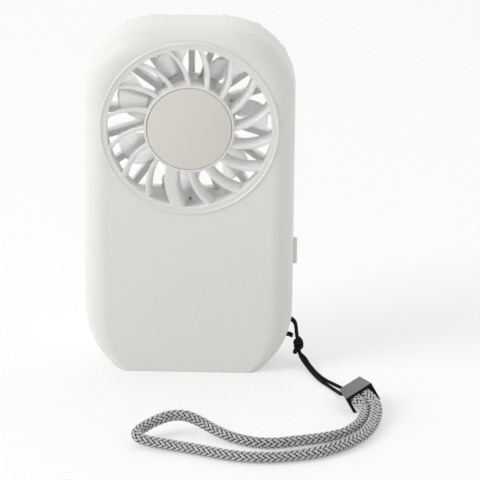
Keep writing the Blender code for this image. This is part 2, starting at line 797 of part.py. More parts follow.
vane_start = HUB_RADIUS - HUB_SEAT_WALL / 2
vane_end = RING_BORE + RING_WALL / 2
vanes = many(
    "vanes_tool",
    [
        vane_rings(
            number,
            LEAD_VANE_WIDTH if number == LEAD_VANE else VANE_WIDTH,
            vane_start, vane_end, vane_front, vane_rear,
        )
        for number in range(VANE_COUNT)
    ],
)
vanes.parent = fan
combine(front_grille, grille_hub, "UNION")
combine(front_grille, vanes, "UNION")
channel = many(
    "channel_tool",
    [vane_rings(LEAD_VANE, LEAD_CHANNEL, HUB_RADIUS - HUB_WALL - GAP, ring_outer + OVERRUN,
                vane_rear - LEAD_CHANNEL, vane_rear + OVERRUN)],
)
channel.parent = fan
combine(front_grille, channel, "DIFFERENCE")

hub_cap = turned(
    "hub_cap",
    [
        (0, FRONT_Y),
        (cap_bore - GAP - CAP_THICKNESS / 4, FRONT_Y),
        (cap_bore - GAP, FRONT_Y + CAP_THICKNESS / 4),
        (cap_bore - GAP, FRONT_Y + CAP_THICKNESS),
        (0, FRONT_Y + CAP_THICKNESS),
    ],
    disc_skin,
    parent=fan,
)


# Impeller: hub cup with a boss on the shaft, and swept blades round it.

rotor = empty("rotor_axis", (0, 0, FAN_HEIGHT))
impeller_front = FRONT_Y + IMPELLER_FRONT
impeller_rear = FRONT_Y + (spoke_front - FRONT_Y) * IMPELLER_REAR_SHARE
impeller_hub = HUB_RADIUS - GAP / 2
impeller_bore = impeller_hub - IMPELLER_WALL
impeller_floor = impeller_rear - IMPELLER_WALL
boss_front = impeller_floor - BOSS_LENGTH
impeller = turned(
    "impeller",
    [
        (impeller_bore, impeller_front),
        (impeller_hub, impeller_front),
        (impeller_hub, impeller_floor),
        (impeller_hub - IMPELLER_WALL, impeller_rear),
        (SHAFT_RADIUS + GAP, impeller_rear),
        (SHAFT_RADIUS + GAP, boss_front),
        (SHAFT_RADIUS + GAP + BOSS_WALL, boss_front),
        (SHAFT_RADIUS + GAP + BOSS_WALL, impeller_floor),
        (impeller_bore, impeller_floor),
    ],
    blade_skin,
    parent=rotor,
)


def blade_rings(number):
    """Sections of one blade, from inside the hub wall out to the tip."""
    rings = []
    start = impeller_hub - IMPELLER_WALL / 2
    middle = BLADE_FIRST + 360 * number / BLADE_COUNT
    first = impeller_front + BLADE_INSET + BLADE_THICKNESS / 2
    last = impeller_rear + BLADE_OVERHANG - BLADE_THICKNESS / 2
    for i in range(BLADE_STATIONS + 1):
        share = i / BLADE_STATIONS
        radius = start + (IMPELLER_RADIUS - start) * share
        centre = middle - BLADE_SKEW * (share - 1 / 2)
        flat = last - (last - first) * share * BLADE_FLATTEN_SHARE
        upper, lower = [], []
        for j in range(BLADE_POINTS + 1):
            s = j / BLADE_POINTS
            angle = centre + BLADE_ANGLE * (1 / 2 - s)
            bow = 4 * s * (1 - s)
            y = first + (flat - first) * s + BLADE_CAMBER * bow
            half = BLADE_THICKNESS / 2 * (BLADE_EDGE_SHARE + (1 - BLADE_EDGE_SHARE) * bow)
            upper.append(polar(radius, angle, y - half))
            lower.append(polar(radius, angle, y + half))
        rings.append(upper + list(reversed(lower)))
    return rings


blades = many("blades_tool", [blade_rings(number) for number in range(BLADE_COUNT)])
blades.parent = rotor
combine(impeller, blades, "UNION")


# Motor, from the outside in: yoke, magnet, stator, bearing and shaft.

yoke_radius = impeller_bore - GAP
yoke_rear = impeller_floor - GAP
yoke_front = impeller_front + YOKE_INSET
rotor_yoke = turned(
    "rotor_yoke",
    [
        (yoke_radius - YOKE_WALL, yoke_front),
        (yoke_radius, yoke_front),
        (yoke_radius, yoke_rear),
        (SHAFT_RADIUS + GAP + BOSS_WALL + GAP, yoke_rear),
        (SHAFT_RADIUS + GAP + BOSS_WALL + GAP, yoke_rear - YOKE_WALL),
        (yoke_radius - YOKE_WALL, yoke_rear - YOKE_WALL),
    ],
    steel_skin,
    steps=MOTOR_STEPS,
    parent=rotor,
)
magnet_outer = yoke_radius - YOKE_WALL - GAP
magnet_rear = yoke_rear - YOKE_WALL - GAP
magnet_front = yoke_front + MAGNET_INSET
ring_magnet = turned(
    "ring_magnet",
    [
        (magnet_outer - MAGNET_WALL, magnet_front),
        (magnet_outer, magnet_front),
        (magnet_outer, magnet_rear),
        (magnet_outer - MAGNET_WALL, magnet_rear),
    ],
    magnet_skin,
    steps=MOTOR_STEPS,
    parent=rotor,
)
tube_rear = boss_front - GAP
bearing_tube = turned(
    "bearing_tube",
    [
        (tube_bore, plate_front),
        (tube_radius, plate_front),
        (tube_radius, tube_rear),
        (tube_bore, tube_rear),
    ],
    brass_skin,
    steps=SMALL_STEPS * 2,
    parent=fan,
)
bearing_bush = turned(
    "bearing_bush",
    [
        (SHAFT_RADIUS + GAP, plate_rear + GAP),
        (bush_radius, plate_rear + GAP),
        (bush_radius, tube_rear - GAP),
        (SHAFT_RADIUS + GAP, tube_rear - GAP),
    ],
    brass_skin,
    steps=SMALL_STEPS * 2,
    parent=fan,
)
shaft_front = plate_front + CLIP_THICKNESS
motor_shaft = turned(
    "motor_shaft",
    [
        (0, shaft_front),
        (SHAFT_RADIUS, shaft_front),
        (SHAFT_RADIUS, impeller_rear - GAP),
        (0, impeller_rear - GAP),
    ],
    steel_skin,
    steps=SMALL_STEPS,
    parent=rotor,
)
stator_outer = magnet_outer - MAGNET_WALL - STATOR_MARGIN
board_front = plate_rear + GAP
board_rear = board_front + MOTOR_BOARD
motor_board = turned(
    "motor_board",
    [
        (tube_radius + GAP, board_front),
        (MOTOR_BOARD_RADIUS, board_front),
        (MOTOR_BOARD_RADIUS, board_rear),
        (tube_radius + GAP, board_rear),
    ],
    board_skin,
    steps=MOTOR_STEPS,
    parent=fan,
)

core_inner = tube_radius + GAP
core_outer = core_inner + STATOR_CORE_WALL
coil_end = COIL_CLEARANCE + COIL_THICKNESS
stator_rear = yoke_rear - YOKE_WALL - COIL_ROOM - coil_end
stator_front = stator_rear - (stator_rear - board_rear - GAP - coil_end) * STATOR_SHARE
rim_inner = stator_outer - STATOR_RIM
outline = []
for k in range(STATOR_TEETH):
    axis = 360 / STATOR_TEETH * k
    root = math.degrees(math.asin(TOOTH_WIDTH / 2 / core_outer))
    neck = math.degrees(math.asin(TOOTH_WIDTH / 2 / rim_inner))
    tip = TOOTH_TIP_ANGLE / 2
    outline += [
        polar(core_outer, axis - root, 0),
        polar(rim_inner, axis - neck, 0),
        polar(rim_inner, axis - tip, 0),
        polar(stator_outer, axis - tip, 0),
        polar(stator_outer, axis - tip / 2, 0),
        polar(stator_outer, axis, 0),
        polar(stator_outer, axis + tip / 2, 0),
        polar(stator_outer, axis + tip, 0),
        polar(rim_inner, axis + tip, 0),
        polar(rim_inner, axis + neck, 0),
        polar(core_outer, axis + root, 0),
    ]
stator_core = prism(
    "stator_core", [(x, z) for x, y, z in outline], stator_front, stator_rear, steel_skin, parent=fan
)
core_bore = many("core_bore_tool", [
    [disc(0, 0, core_inner, y, TURN_STEPS) for y in (stator_front - OVERRUN, stator_rear + OVERRUN)]
])
core_bore.parent = fan
combine(stator_core, core_bore, "DIFFERENCE")

coil_inner = core_outer + COIL_CLEARANCE * 2
coil_outer = rim_inner * math.cos(math.radians(TOOTH_TIP_ANGLE / 2)) - COIL_CLEARANCE
coil_half = TOOTH_WIDTH / 2 + COIL_CLEARANCE + COIL_THICKNESS
coil_front = stator_front - coil_end
coil_rear = stator_rear + coil_end
blocks, holes = [], []
for k in range(STATOR_TEETH):
    along = Matrix.Rotation(-math.radians(360 / STATOR_TEETH * k), 4, "Y")
    inner_half = min(coil_half, coil_inner * math.tan(math.pi / STATOR_TEETH) - COIL_CLEARANCE)
    slot = TOOTH_WIDTH / 2 + COIL_CLEARANCE
    blocks.append([
        [tuple(along @ Vector((r, y, w)))
         for r, w in ((coil_inner, -inner_half), (coil_outer, -coil_half),
                      (coil_outer, coil_half), (coil_inner, inner_half))]
        for y in (coil_front, coil_rear)
    ])
    holes.append([
        [tuple(along @ Vector((r, y, w)))
         for r, w in ((core_outer - COIL_THICKNESS, -slot), (rim_inner + COIL_THICKNESS, -slot),
                      (rim_inner + COIL_THICKNESS, slot), (core_outer - COIL_THICKNESS, slot))]
        for y in (stator_front - COIL_CLEARANCE, stator_rear + COIL_CLEARANCE)
    ])
stator_coils = turned(
    "stator_coils",
    [
        (coil_inner, coil_front),
        (coil_inner + COIL_THICKNESS, coil_front),
        (coil_inner + COIL_THICKNESS, stator_front - COIL_CLEARANCE),
        (coil_inner, stator_front - COIL_CLEARANCE),
    ],
    copper_skin,
    steps=TURN_STEPS,
    parent=fan,
)
coil_blocks = many("coil_blocks_tool", blocks)
coil_blocks.parent = fan
tooth_holes = many("tooth_holes_tool", holes)
tooth_holes.parent = fan
combine(coil_blocks, tooth_holes, "DIFFERENCE")
combine(stator_coils, coil_blocks, "UNION")


# Power button, its flange and stem, and the side-push switch behind it.

button_rig = empty("button_axis", (HALF_WIDTH, button_y, BUTTON_HEIGHT))
flange_outer = -WALL - GAP
flange_inner = flange_outer - BUTTON_FLANGE
stem_inner = flange_inner - BUTTON_STEM


def button_ring(x, grow):
    return [(x, y, z) for y, z in stadium(BUTTON_LENGTH + 2 * grow, BUTTON_WIDTH + 2 * grow)]


crown = BUTTON_CROWN
power_button = loft(
    "power_button",
    [
        button_ring(flange_inner, BUTTON_RIM),
        button_ring(flange_outer, BUTTON_RIM),
        button_ring(flange_outer, 0),
        button_ring(BUTTON_PROUD - crown, 0),
        button_ring(BUTTON_PROUD - crown * (1 - math.sqrt(1 / 2)), -crown * (1 - math.sqrt(1 / 2))),
        button_ring(BUTTON_PROUD, -crown),
    ],
    button_skin,
    parent=button_rig,
)
turn = math.tau / SMALL_STEPS
stem = many("stem_tool", [[
    [(x, BUTTON_STEM_RADIUS * math.cos(turn * i), BUTTON_STEM_RADIUS * math.sin(turn * i))
     for i in range(SMALL_STEPS)]
    for x in (stem_inner, flange_inner + GAP)
]])
stem.parent = button_rig
combine(power_button, stem, "UNION")

plunger_rig = empty("plunger_axis", (HALF_WIDTH + stem_inner - GAP, button_y, BUTTON_HEIGHT))
switch_plunger = many("switch_plunger", [[
    [(x, PLUNGER_RADIUS * math.cos(turn * i), PLUNGER_RADIUS * math.sin(turn * i))
     for i in range(SMALL_STEPS)]
    for x in (-PLUNGER_SHOWN - PLUNGER_HIDDEN, 0)
]])
switch_plunger.data.materials.append(black_skin)
switch_plunger.parent = plunger_rig
switch_front = HALF_WIDTH + stem_inner - GAP - PLUNGER_SHOWN
switch_rear_y = button_y + SWITCH_DEPTH / 2
tact_switch = box(
    "tact_switch",
    (switch_front - SWITCH_LENGTH, switch_rear_y - SWITCH_DEPTH, BUTTON_HEIGHT - SWITCH_HEIGHT / 2),
    (switch_front, switch_rear_y, BUTTON_HEIGHT + SWITCH_HEIGHT / 2),
    black_skin,
    smooth=False,
)
switch_bore = many("switch_bore_tool", [[
    [(x, button_y + (PLUNGER_RADIUS + GAP) * math.cos(turn * i),
      BUTTON_HEIGHT + (PLUNGER_RADIUS + GAP) * math.sin(turn * i)) for i in range(SMALL_STEPS)]
    for x in (switch_front - PLUNGER_HIDDEN - BUTTON_TRAVEL - GAP, switch_front + OVERRUN)
]])
combine(tact_switch, switch_bore, "DIFFERENCE")


# Main board with its parts.

main_board = box(
    "main_board",
    (-BOARD_HALF_WIDTH, board_front_y, BOARD_BOTTOM),
    (BOARD_HALF_WIDTH, board_rear_y, BOARD_TOP),
    board_skin,
    smooth=False,
)
combine(main_board, many("board_holes_tool", [
    [disc(x, z, SCREW_RADIUS + GAP, y) for y in (board_front_y - OVERRUN, board_rear_y + OVERRUN)]
    for x, z in board_screws
]), "DIFFERENCE")
board_middle = (BOARD_BOTTOM + BOARD_TOP) / 2
control_chip = box(
    "control_chip",
    (CHIP_X - CHIP_SIDE / 2, board_rear_y + GAP, board_middle - CHIP_SIDE / 2),
    (CHIP_X + CHIP_SIDE / 2, board_rear_y + GAP + CHIP_THICKNESS, board_middle + CHIP_SIDE / 2),
    black_skin,
    smooth=False,
)
power_inductor = many("power_inductor", [[
    disc(-INDUCTOR_X, board_middle, INDUCTOR_RADIUS, y)
    for y in (board_rear_y + GAP, board_rear_y + GAP + INDUCTOR_HEIGHT)
]])
power_inductor.data.materials.append(magnet_skin)

socket_mouth = -HALF_WIDTH + SOCKET_RECESS


def socket_ring(x, shrink):
    return [
        (x, socket_y + y, BUTTON_HEIGHT + z)
        for y, z in stadium(SOCKET_WIDTH - 2 * shrink, SOCKET_THICKNESS - 2 * shrink)
    ]


usb_socket = loft(
    "usb_socket",
    [
        socket_ring(socket_mouth + SOCKET_LENGTH - SOCKET_SHEET, SOCKET_SHEET),
        socket_ring(socket_mouth, SOCKET_SHEET),
        socket_ring(socket_mouth, 0),
        socket_ring(socket_mouth + SOCKET_LENGTH, 0),
    ],
    steel_skin,
)
usb_tongue = box(
    "usb_tongue",
    (socket_mouth + TONGUE_RECESS, socket_y - TONGUE_THICKNESS / 2, BUTTON_HEIGHT - TONGUE_WIDTH / 2),
    (socket_mouth + SOCKET_LENGTH - SOCKET_SHEET - GAP, socket_y + TONGUE_THICKNESS / 2,
     BUTTON_HEIGHT + TONGUE_WIDTH / 2),
    black_skin,
    smooth=False,
)


# Battery: a foil pouch on its foam pad, stuck to the inside of the front wall.

pad_half = cell_half - PAD_MARGIN
battery_pad = box(
    "battery_pad",
    (-pad_half, pad_front, cell_bottom + PAD_MARGIN),
    (pad_half, pad_front + PAD_THICKNESS, cell_top - PAD_MARGIN),
    foam_skin,
    smooth=False,
)


def cell_ring(y, shrink):
    half = cell_half - shrink
    low, high = cell_bottom + shrink, cell_top - shrink
    return [(-half, y, low), (half, y, low), (half, y, high), (-half, y, high)]


edge = CELL_EDGE
battery_cell = loft(
    "battery_cell",
    [cell_ring(cell_front, edge)]
    + [cell_ring(cell_front + edge * (1 - math.cos(math.pi / 2 * i / INNER_STEPS)),
                 edge * (1 - math.sin(math.pi / 2 * i / INNER_STEPS))) for i in (1, 2, 3)]
    + [cell_ring(cell_rear - edge * (1 - math.cos(math.pi / 2 * i / INNER_STEPS)),
                 edge * (1 - math.sin(math.pi / 2 * i / INNER_STEPS))) for i in (3, 2, 1)]
    + [cell_ring(cell_rear, edge)],
    foil_skin,
)


# Screws.


def screw(name, x, z, seat, length):
    """A crowned screw whose head seats at the depth seat and whose shank runs forwards."""
    return turned(
        name,
        [
            (0, seat - length),
            (SCREW_RADIUS, seat - length),
            (SCREW_RADIUS, seat),
            (HEAD_RADIUS, seat),
            (HEAD_RADIUS, seat + HEAD_HEIGHT - HEAD_CROWN),
            (HEAD_RADIUS - HEAD_CROWN, seat + HEAD_HEIGHT),
            (0, seat + HEAD_HEIGHT),
        ],
        steel_skin,
        steps=SMALL_STEPS,
        location=(x, 0, z),
    )


for number, (x, z) in enumerate(case_screws, 1):
    screw(f"case_screw_{number}", x, z, counterbore_y + GAP, SCREW_LENGTH)
for number, (x, z) in enumerate(board_screws, 1):
    screw(f"board_screw_{number}", x, z, board_rear_y + GAP, BOARD_SCREW_LENGTH)


# Cords, leads and strap: tubes along smooth curves.


def smooth_points(route, step_lengths):
    """Read points off a smooth curve through the route, a step apart, with finer steps where asked."""
    dense = []
    points = [Vector(p) for p in route]
    points = [points[0] * 2 - points[1]] + points + [points[-1] * 2 - points[-2]]
    for a, b, c, d in zip(points, points[1:], points[2:], points[3:]):
        for i in range(24):
            t = i / 24
            dense.append((
                2 * b + (c - a) * t + (2 * a - 5 * b + 4 * c - d) * t * t
                + (3 * b - 3 * c + d - a) * t * t * t
            ) / 2)
    dense.append(points[-2])
    lengths = [0.0]
    for a, b in zip(dense, dense[1:]):
        lengths.append(lengths[-1] + (b - a).length)
    total = lengths[-1]
    marks = [0.0]
    while marks[-1] < total:
        marks.append(marks[-1] + step_lengths(marks[-1]))
    scale = total / marks[-1]
    chosen, at = [], 0
    for mark in (m * scale for m in marks):
        while at < len(lengths) - 2 and lengths[at + 1] < mark:
            at += 1
        span = lengths[at + 1] - lengths[at]
        share = (mark - lengths[at]) / span if span > 0 else 0
        chosen.append(dense[at].lerp(dense[at + 1], share))
    return chosen, total


def tube(name, points, diameter, skin, resolution=2):
    curve = bpy.data.curves.new(name, "CURVE")
    curve.dimensions = "3D"
    curve.bevel_depth = diameter / 2
    curve.bevel_resolution = resolution
    curve.use_fill_caps = True
    spline = curve.splines.new("POLY")
    spline.points.add(len(points) - 1)
    for knot, point in zip(spline.points, points):
        knot.co = (*point, 1)
    made = bpy.data.objects.new(name, curve)
    bpy.context.collection.objects.link(made)
    curve.materials.append(skin)
    return made


def beside(x, y, z):
    """A lanyard point in thousandths of a metre, counted in x from the casing's right side."""
    return Vector((HALF_WIDTH, 0, 0)) + Vector((x, y, z)) / 1000


# The cord pair: out of the knot into the lower slot, round the bar, back through the knot to the clamp.

lean = Vector((0.165, -0.375, -0.912)).normalized()
knot_centre = beside(2.2, -2.0, 7.0)
across = (Vector((0, 1, 0)) - lean * lean.y).normalized()
side_on = across.cross(lean)
slot_low = (EYELET_LOW + EYELET_BAR_LOW) / 2
slot_high = (EYELET_BAR_HIGH + EYELET_HIGH) / 2
turn_radius = (slot_high - slot_low) / 2
bar_route = []
for i in range(TURN_STEPS // 4 + 1):
    angle = math.tau * (3 / 4 - 2 * i / TURN_STEPS)
    bar_route.append((
        EYELET_BAR_X + turn_radius * math.cos(angle),
        (slot_low + slot_high) / 2 + turn_radius * math.sin(angle),
    ))
knot_half = lean * (KNOT_LENGTH / 2 + GAP * 2)
fall_route = [beside(*p) for p in (
    (4.1, -5.6, 2.9), (5.9, -8.9, 1.5), (8.1, -13.9, 0.8), (10.7, -19.5, 0.7),
    (13.7, -24.1, 0.75), (15.9, -28.0, 1.0), (17.3, -31.6, 1.7), (18.2, -35.2, 2.7),
)]
fall_sides = [Vector(v).normalized() for v in (
    (0.45, 0.9, 0), (0.7, 0.72, 0), (0.86, 0.5, 0), (0.88, 0.47, 0),
    (0.86, 0.5, 0), (0.9, 0.43, 0), (0.93, 0.36, 0.1), (0.93, 0.3, 0.2),
)]


def cord_route(sign):
    """One strand of the pair, moved sideways by half of their spacing."""
    apart = sign * CORD_SPACING / 2
    y_axis = Vector((0, 1, 0))
    sideways = Vector((0, apart, 0))
    route = [beside(0.1, -0.5, 9.3) + sideways, beside(-1.1, 0.3, 9.5) + sideways]
    for x, z in bar_route:
        route.append(Vector((x, EYELET_Y, z)) + sideways)
    for point in ((-1.7, 0.95, 15.05), (-0.2, 0.75, 14.75), (0.95, 0.35, 13.75), (1.4, -0.1, 12.3)):
        route.append(beside(*point) + sideways)
    for along in (-1, 0, 1):
        route.append(knot_centre + knot_half * along + across * apart)
    for point, side in zip(fall_route, fall_sides):
        route.append(point + side * apart)
    level = CLAMP_WALL + GAP + CORD_DIAMETER * CORD_SEAT_SHARE
    route.append(clamp_point(apart * CORD_SPREAD_SHARE, CLAMP_GRIP, level))
    return route


# Clamp frame: u points out of its mouth, w across it, l down its open side.

clamp_origin = beside(19.6, -35.8, 6.6)
clamp_u = Vector((0.290, -0.955, 0.092)).normalized()
clamp_w = Vector((0.775, 0.257, 0.433))
clamp_w = (clamp_w - clamp_u * clamp_w.dot(clamp_u)).normalized()
clamp_l = clamp_w.cross(clamp_u)
if clamp_l.z > 0:
    clamp_l = -clamp_l


def clamp_point(w, u, l):
    return clamp_origin + clamp_w * w + clamp_u * u + clamp_l * l


def wedge(name, rear, front, skin=None):
    """A four-sided block between two sections (half width, top, bottom) at distances along u."""
    rings = []
    for u, half, top, bottom in (rear, front):
        rings.append([
            tuple(clamp_point(w, u, l))
            for w, l in ((-half, top), (half, top), (half, bottom), (-half, bottom))
        ])
    return loft(name, rings, skin, smooth=False)


strap_clamp = wedge(
    "strap_clamp",
    (0, CLAMP_REAR_WIDTH / 2, 0, CLAMP_REAR_HEIGHT),
    (CLAMP_LENGTH, CLAMP_FRONT_WIDTH / 2, 0, CLAMP_FRONT_HEIGHT),
    clamp_skin,
)
clamp_hollow = wedge(
    "clamp_hollow_tool",
    (-OVERRUN, CLAMP_REAR_WIDTH / 2 - CLAMP_WALL, CLAMP_WALL, CLAMP_FRONT_HEIGHT),
    (CLAMP_LENGTH + OVERRUN, CLAMP_FRONT_WIDTH / 2 - CLAMP_WALL, CLAMP_WALL,
     CLAMP_FRONT_HEIGHT + OVERRUN),
)
combine(strap_clamp, clamp_hollow, "DIFFERENCE")
bevel = strap_clamp.modifiers.new("edge_round", "BEVEL")
bevel.width = CLAMP_WALL / 3
bevel.segments = 1
bevel.limit_method = "ANGLE"


def cord_step(at):
    return CORD_DIAMETER * (FINE_STEP_SHARE if at < FINE_CORD else COARSE_STEP_SHARE)


cord_lengths = []
for name, sign in (("lanyard_cord_front", -1), ("lanyard_cord_back", 1)):
    points, total = smooth_points(cord_route(sign), cord_step)
    tube(name, points, CORD_DIAMETER, cord_skin)
    cord_lengths.append(total)


# Knot: a swollen sleeve round the pair, with the cut tail below it.

knot_rings = []
for i in range(9):
    s = -1 + i / 4
    swell = math.sqrt(1 - KNOT_WAIST_SHARE * s * s)
    if abs(s) == 1:
        swell *= KNOT_END_SHARE
    ring = []
    for j in range(SMALL_STEPS):
        angle = math.tau * j / SMALL_STEPS
        wobble = 1 + KNOT_WOBBLE_SHARE * math.sin(3 * angle + 3 * s)
        ring.append(tuple(
            knot_centre + lean * (s * KNOT_LENGTH / 2)
            + side_on * (KNOT_WIDTH / 2 * swell * wobble * math.cos(angle))
            + across * (KNOT_BREADTH / 2 * swell * wobble * math.sin(angle))
        ))
    knot_rings.append(ring)
cord_knot = loft("cord_knot", knot_rings, cord_skin)
tail_top = knot_centre + lean * (KNOT_LENGTH / 4) - side_on * (KNOT_WIDTH / 4)
if (knot_centre - side_on).x > knot_centre.x:
    tail_top = knot_centre + lean * (KNOT_LENGTH / 4) + side_on * (KNOT_WIDTH / 4)
tail_way = Vector((-0.35, -0.1, -1)).normalized()
tail_u = tail_way.cross(Vector((0, 1, 0))).normalized()
tail_v = tail_way.cross(tail_u)
tail_rings = []
for s in (0, 1):
    tail_rings.append([
        tuple(tail_top + tail_way * (KNOT_TAIL * s)
              + tail_u * (KNOT_TAIL_RADIUS * math.cos(turn * j))
              + tail_v * (KNOT_TAIL_RADIUS * math.sin(turn * j)))
        for j in range(SMALL_STEPS)
    ])
combine(cord_knot, many("knot_tail_tool", [tail_rings]), "UNION")
bore_half = CORD_DIAMETER / 2 + GAP
bore_rings = []
for s in (-1, 1):
    bore_rings.append([
        tuple(knot_centre + lean * (s * KNOT_LENGTH) + side_on * a + across * b)
        for a, b in stadium(CORD_SPACING + 2 * bore_half, 2 * bore_half)
    ])
combine(cord_knot, many("knot_bore_tool", [bore_rings]), "DIFFERENCE")


# Wrist strap: one braided cord, both of its ends in the clamp.

strap_route = [beside(*p) for p in (
    (24.3, -48.4, 3.4), (24.7, -51.4, 2.7), (23.5, -56.0, 2.2), (21.1, -61.6, 2.0),
    (17.1, -66.8, 2.0), (11.9, -70.6, 2.0), (6.8, -73.4, 2.0), (1.6, -75.7, 2.0), (-3.5, -77.3, 2.0),
    (-8.7, -77.6, 2.0), (-13.9, -76.0, 2.0), (-19.2, -72.9, 2.1), (-24.2, -69.2, 2.8), (-27.8, -66.7, 3.8),
    (-31.1, -65.5, 5.0), (-34.4, -65.2, 5.9), (-38.2, -65.9, 6.1), (-42.1, -67.8, 5.6), (-45.5, -70.3, 4.8),
    (-48.3, -73.3, 4.0), (-49.3, -75.8, 3.5), (-48.1, -77.8, 3.0), (-44.8, -79.2, 2.6), (-39.6, -80.4, 2.2),
    (-34.4, -81.9, 2.0), (-29.1, -83.9, 2.0), (-23.9, -86.1, 2.0), (-18.8, -88.0, 2.0), (-13.6, -89.1, 2.0),
    (-8.5, -89.3, 2.0), (-3.4, -88.8, 2.0), (1.7, -87.6, 2.0), (6.8, -85.9, 2.0), (11.9, -83.4, 2.0),
    (17.1, -79.7, 2.0), (21.0, -75.1, 2.0), (24.3, -69.0, 2.0), (26.8, -61.5, 2.2), (28.2, -54.6, 3.1),
    (28.1, -49.4, 4.5),
)]
strand = STRAP_DIAMETER / 2 + GAP / 2
strap_level = CLAMP_WALL + GAP + STRAP_DIAMETER / 2
strap_inner = CLAMP_GRIP + GAP * 2
strap_route = (
    [clamp_point(-strand, strap_inner, strap_level),
     clamp_point(-strand, CLAMP_LENGTH, strap_level + GAP)]
    + strap_route
    + [clamp_point(strand, CLAMP_LENGTH, strap_level + GAP),
       clamp_point(strand, strap_inner, strap_level)]
)


def strap_step(at):
    return STRAP_DIAMETER * STRAP_STEP_SHARE


points, total = smooth_points(strap_route, strap_step)
tube("wrist_strap", points, STRAP_DIAMETER, strap_skin)
print("wrist strap", round(total * 1000, 1), "mm in", len(points), "points")
print("cords", [round(length * 1000, 1) for length in cord_lengths], "mm")


# Leads inside the casing.

lead_gap = LEAD_DIAMETER / 2 + GAP
board_edge_y = board_front_y - lead_gap
for name, side, skin in (("battery_lead_red", 1, red_skin), ("battery_lead_black", -1, dark_skin)):
    x = BATTERY_LEAD_X + side * LEAD_SPACING / 2
    cell_y = (cell_front + cell_rear) / 2
    route = [
        Vector((x, cell_y, cell_top + GAP)),
        Vector((x, cell_y, cell_top + LEAD_DIAMETER)),
        Vector((x, (cell_y + board_rear_y) / 2, cell_top + 3 * LEAD_DIAMETER)),
        Vector((x, board_rear_y + lead_gap + LEAD_DIAMETER / 2, cell_top + LEAD_DIAMETER)),
        Vector((x, board_rear_y + lead_gap, BOARD_TOP - LEAD_DIAMETER)),
        Vector((x, board_rear_y + lead_gap, BOARD_TOP - 3 * LEAD_DIAMETER)),
    ]
    points, total = smooth_points(route, lambda at: LEAD_DIAMETER * LEAD_STEP_SHARE)
    tube(name, points, LEAD_DIAMETER, skin)

centre = Vector((0, 0, FAN_HEIGHT))
lead_route = []
lead_start = HUB_RADIUS - HUB_WALL - 2 * LEAD_DIAMETER
for i in range(7):
    radius = lead_start + (ring_outer - lead_start) * i / 6
    bearing = vane_bearing(LEAD_VANE, radius, lead_y)
    lead_route.append(centre + Vector((radius * math.cos(bearing), lead_y, radius * math.sin(bearing))))
lead_route.append(Vector((lead_x, lead_y, DECK_BOTTOM - LEAD_DIAMETER)))
lead_route.append(Vector((lead_x, lead_y + 4 * LEAD_DIAMETER, DECK_BOTTOM - 3 * LEAD_DIAMETER)))
lead_route.append(Vector((lead_x, board_rear_y + lead_gap + LEAD_DIAMETER, cell_top + LEAD_DIAMETER)))
lead_route.append(Vector((lead_x, board_rear_y + lead_gap, BOARD_TOP - LEAD_DIAMETER)))
lead_route.append(Vector((lead_x, board_rear_y + lead_gap, BOARD_TOP - 3 * LEAD_DIAMETER)))
points, total = smooth_points(lead_route, lambda at: LEAD_DIAMETER * LEAD_STEP_SHARE)
tube("motor_lead", points, LEAD_DIAMETER, dark_skin)
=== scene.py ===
# %% [markdown]
# # Pocket fan with a wrist lanyard
#
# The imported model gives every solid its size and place. This script dresses it: fine surfaces for the
# moulded casing, real interlaced yarns for the strap, light and a camera like a product photograph's.
# Lengths are in metres, the fan looks towards -Y, X points right and Z is up.

# %% Frame
import math

import bmesh
import bpy
from mathutils import Matrix, Vector


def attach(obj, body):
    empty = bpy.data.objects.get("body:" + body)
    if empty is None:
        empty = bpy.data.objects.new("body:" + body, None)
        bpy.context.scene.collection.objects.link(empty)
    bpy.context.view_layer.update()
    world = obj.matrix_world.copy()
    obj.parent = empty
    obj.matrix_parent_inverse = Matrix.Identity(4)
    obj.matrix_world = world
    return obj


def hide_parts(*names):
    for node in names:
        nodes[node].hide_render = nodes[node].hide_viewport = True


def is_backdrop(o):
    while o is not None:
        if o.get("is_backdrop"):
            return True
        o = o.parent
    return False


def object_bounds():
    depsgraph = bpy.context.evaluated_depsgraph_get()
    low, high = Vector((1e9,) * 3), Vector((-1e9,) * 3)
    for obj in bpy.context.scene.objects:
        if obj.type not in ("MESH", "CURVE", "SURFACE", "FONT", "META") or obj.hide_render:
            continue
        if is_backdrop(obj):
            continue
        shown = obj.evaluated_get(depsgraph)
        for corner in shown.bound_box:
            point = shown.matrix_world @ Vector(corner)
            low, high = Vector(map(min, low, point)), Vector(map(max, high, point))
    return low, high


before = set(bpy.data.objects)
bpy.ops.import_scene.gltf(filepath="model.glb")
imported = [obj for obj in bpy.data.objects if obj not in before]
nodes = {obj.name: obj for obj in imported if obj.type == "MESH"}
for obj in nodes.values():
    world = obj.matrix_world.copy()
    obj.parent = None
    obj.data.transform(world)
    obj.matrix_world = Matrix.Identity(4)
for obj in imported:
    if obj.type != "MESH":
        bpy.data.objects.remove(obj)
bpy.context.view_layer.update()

# %% [markdown]
# ## The camera
#
# The photograph was taken from about 1.25 m away, 20 degrees above the horizon and a touch from the
# right, with a long lens. The picture also leans by 0.6 degrees. The camera is built from those
# angles, so each can be changed by itself.

# %% Camera
AIM = Vector((0.016984, 0.0, 0.043343))
DISTANCE = 1.255464
ELEVATION, AZIMUTH, ROLL = (math.radians(a) for a in (19.924, -1.132, 0.600))
LENS = 278.24

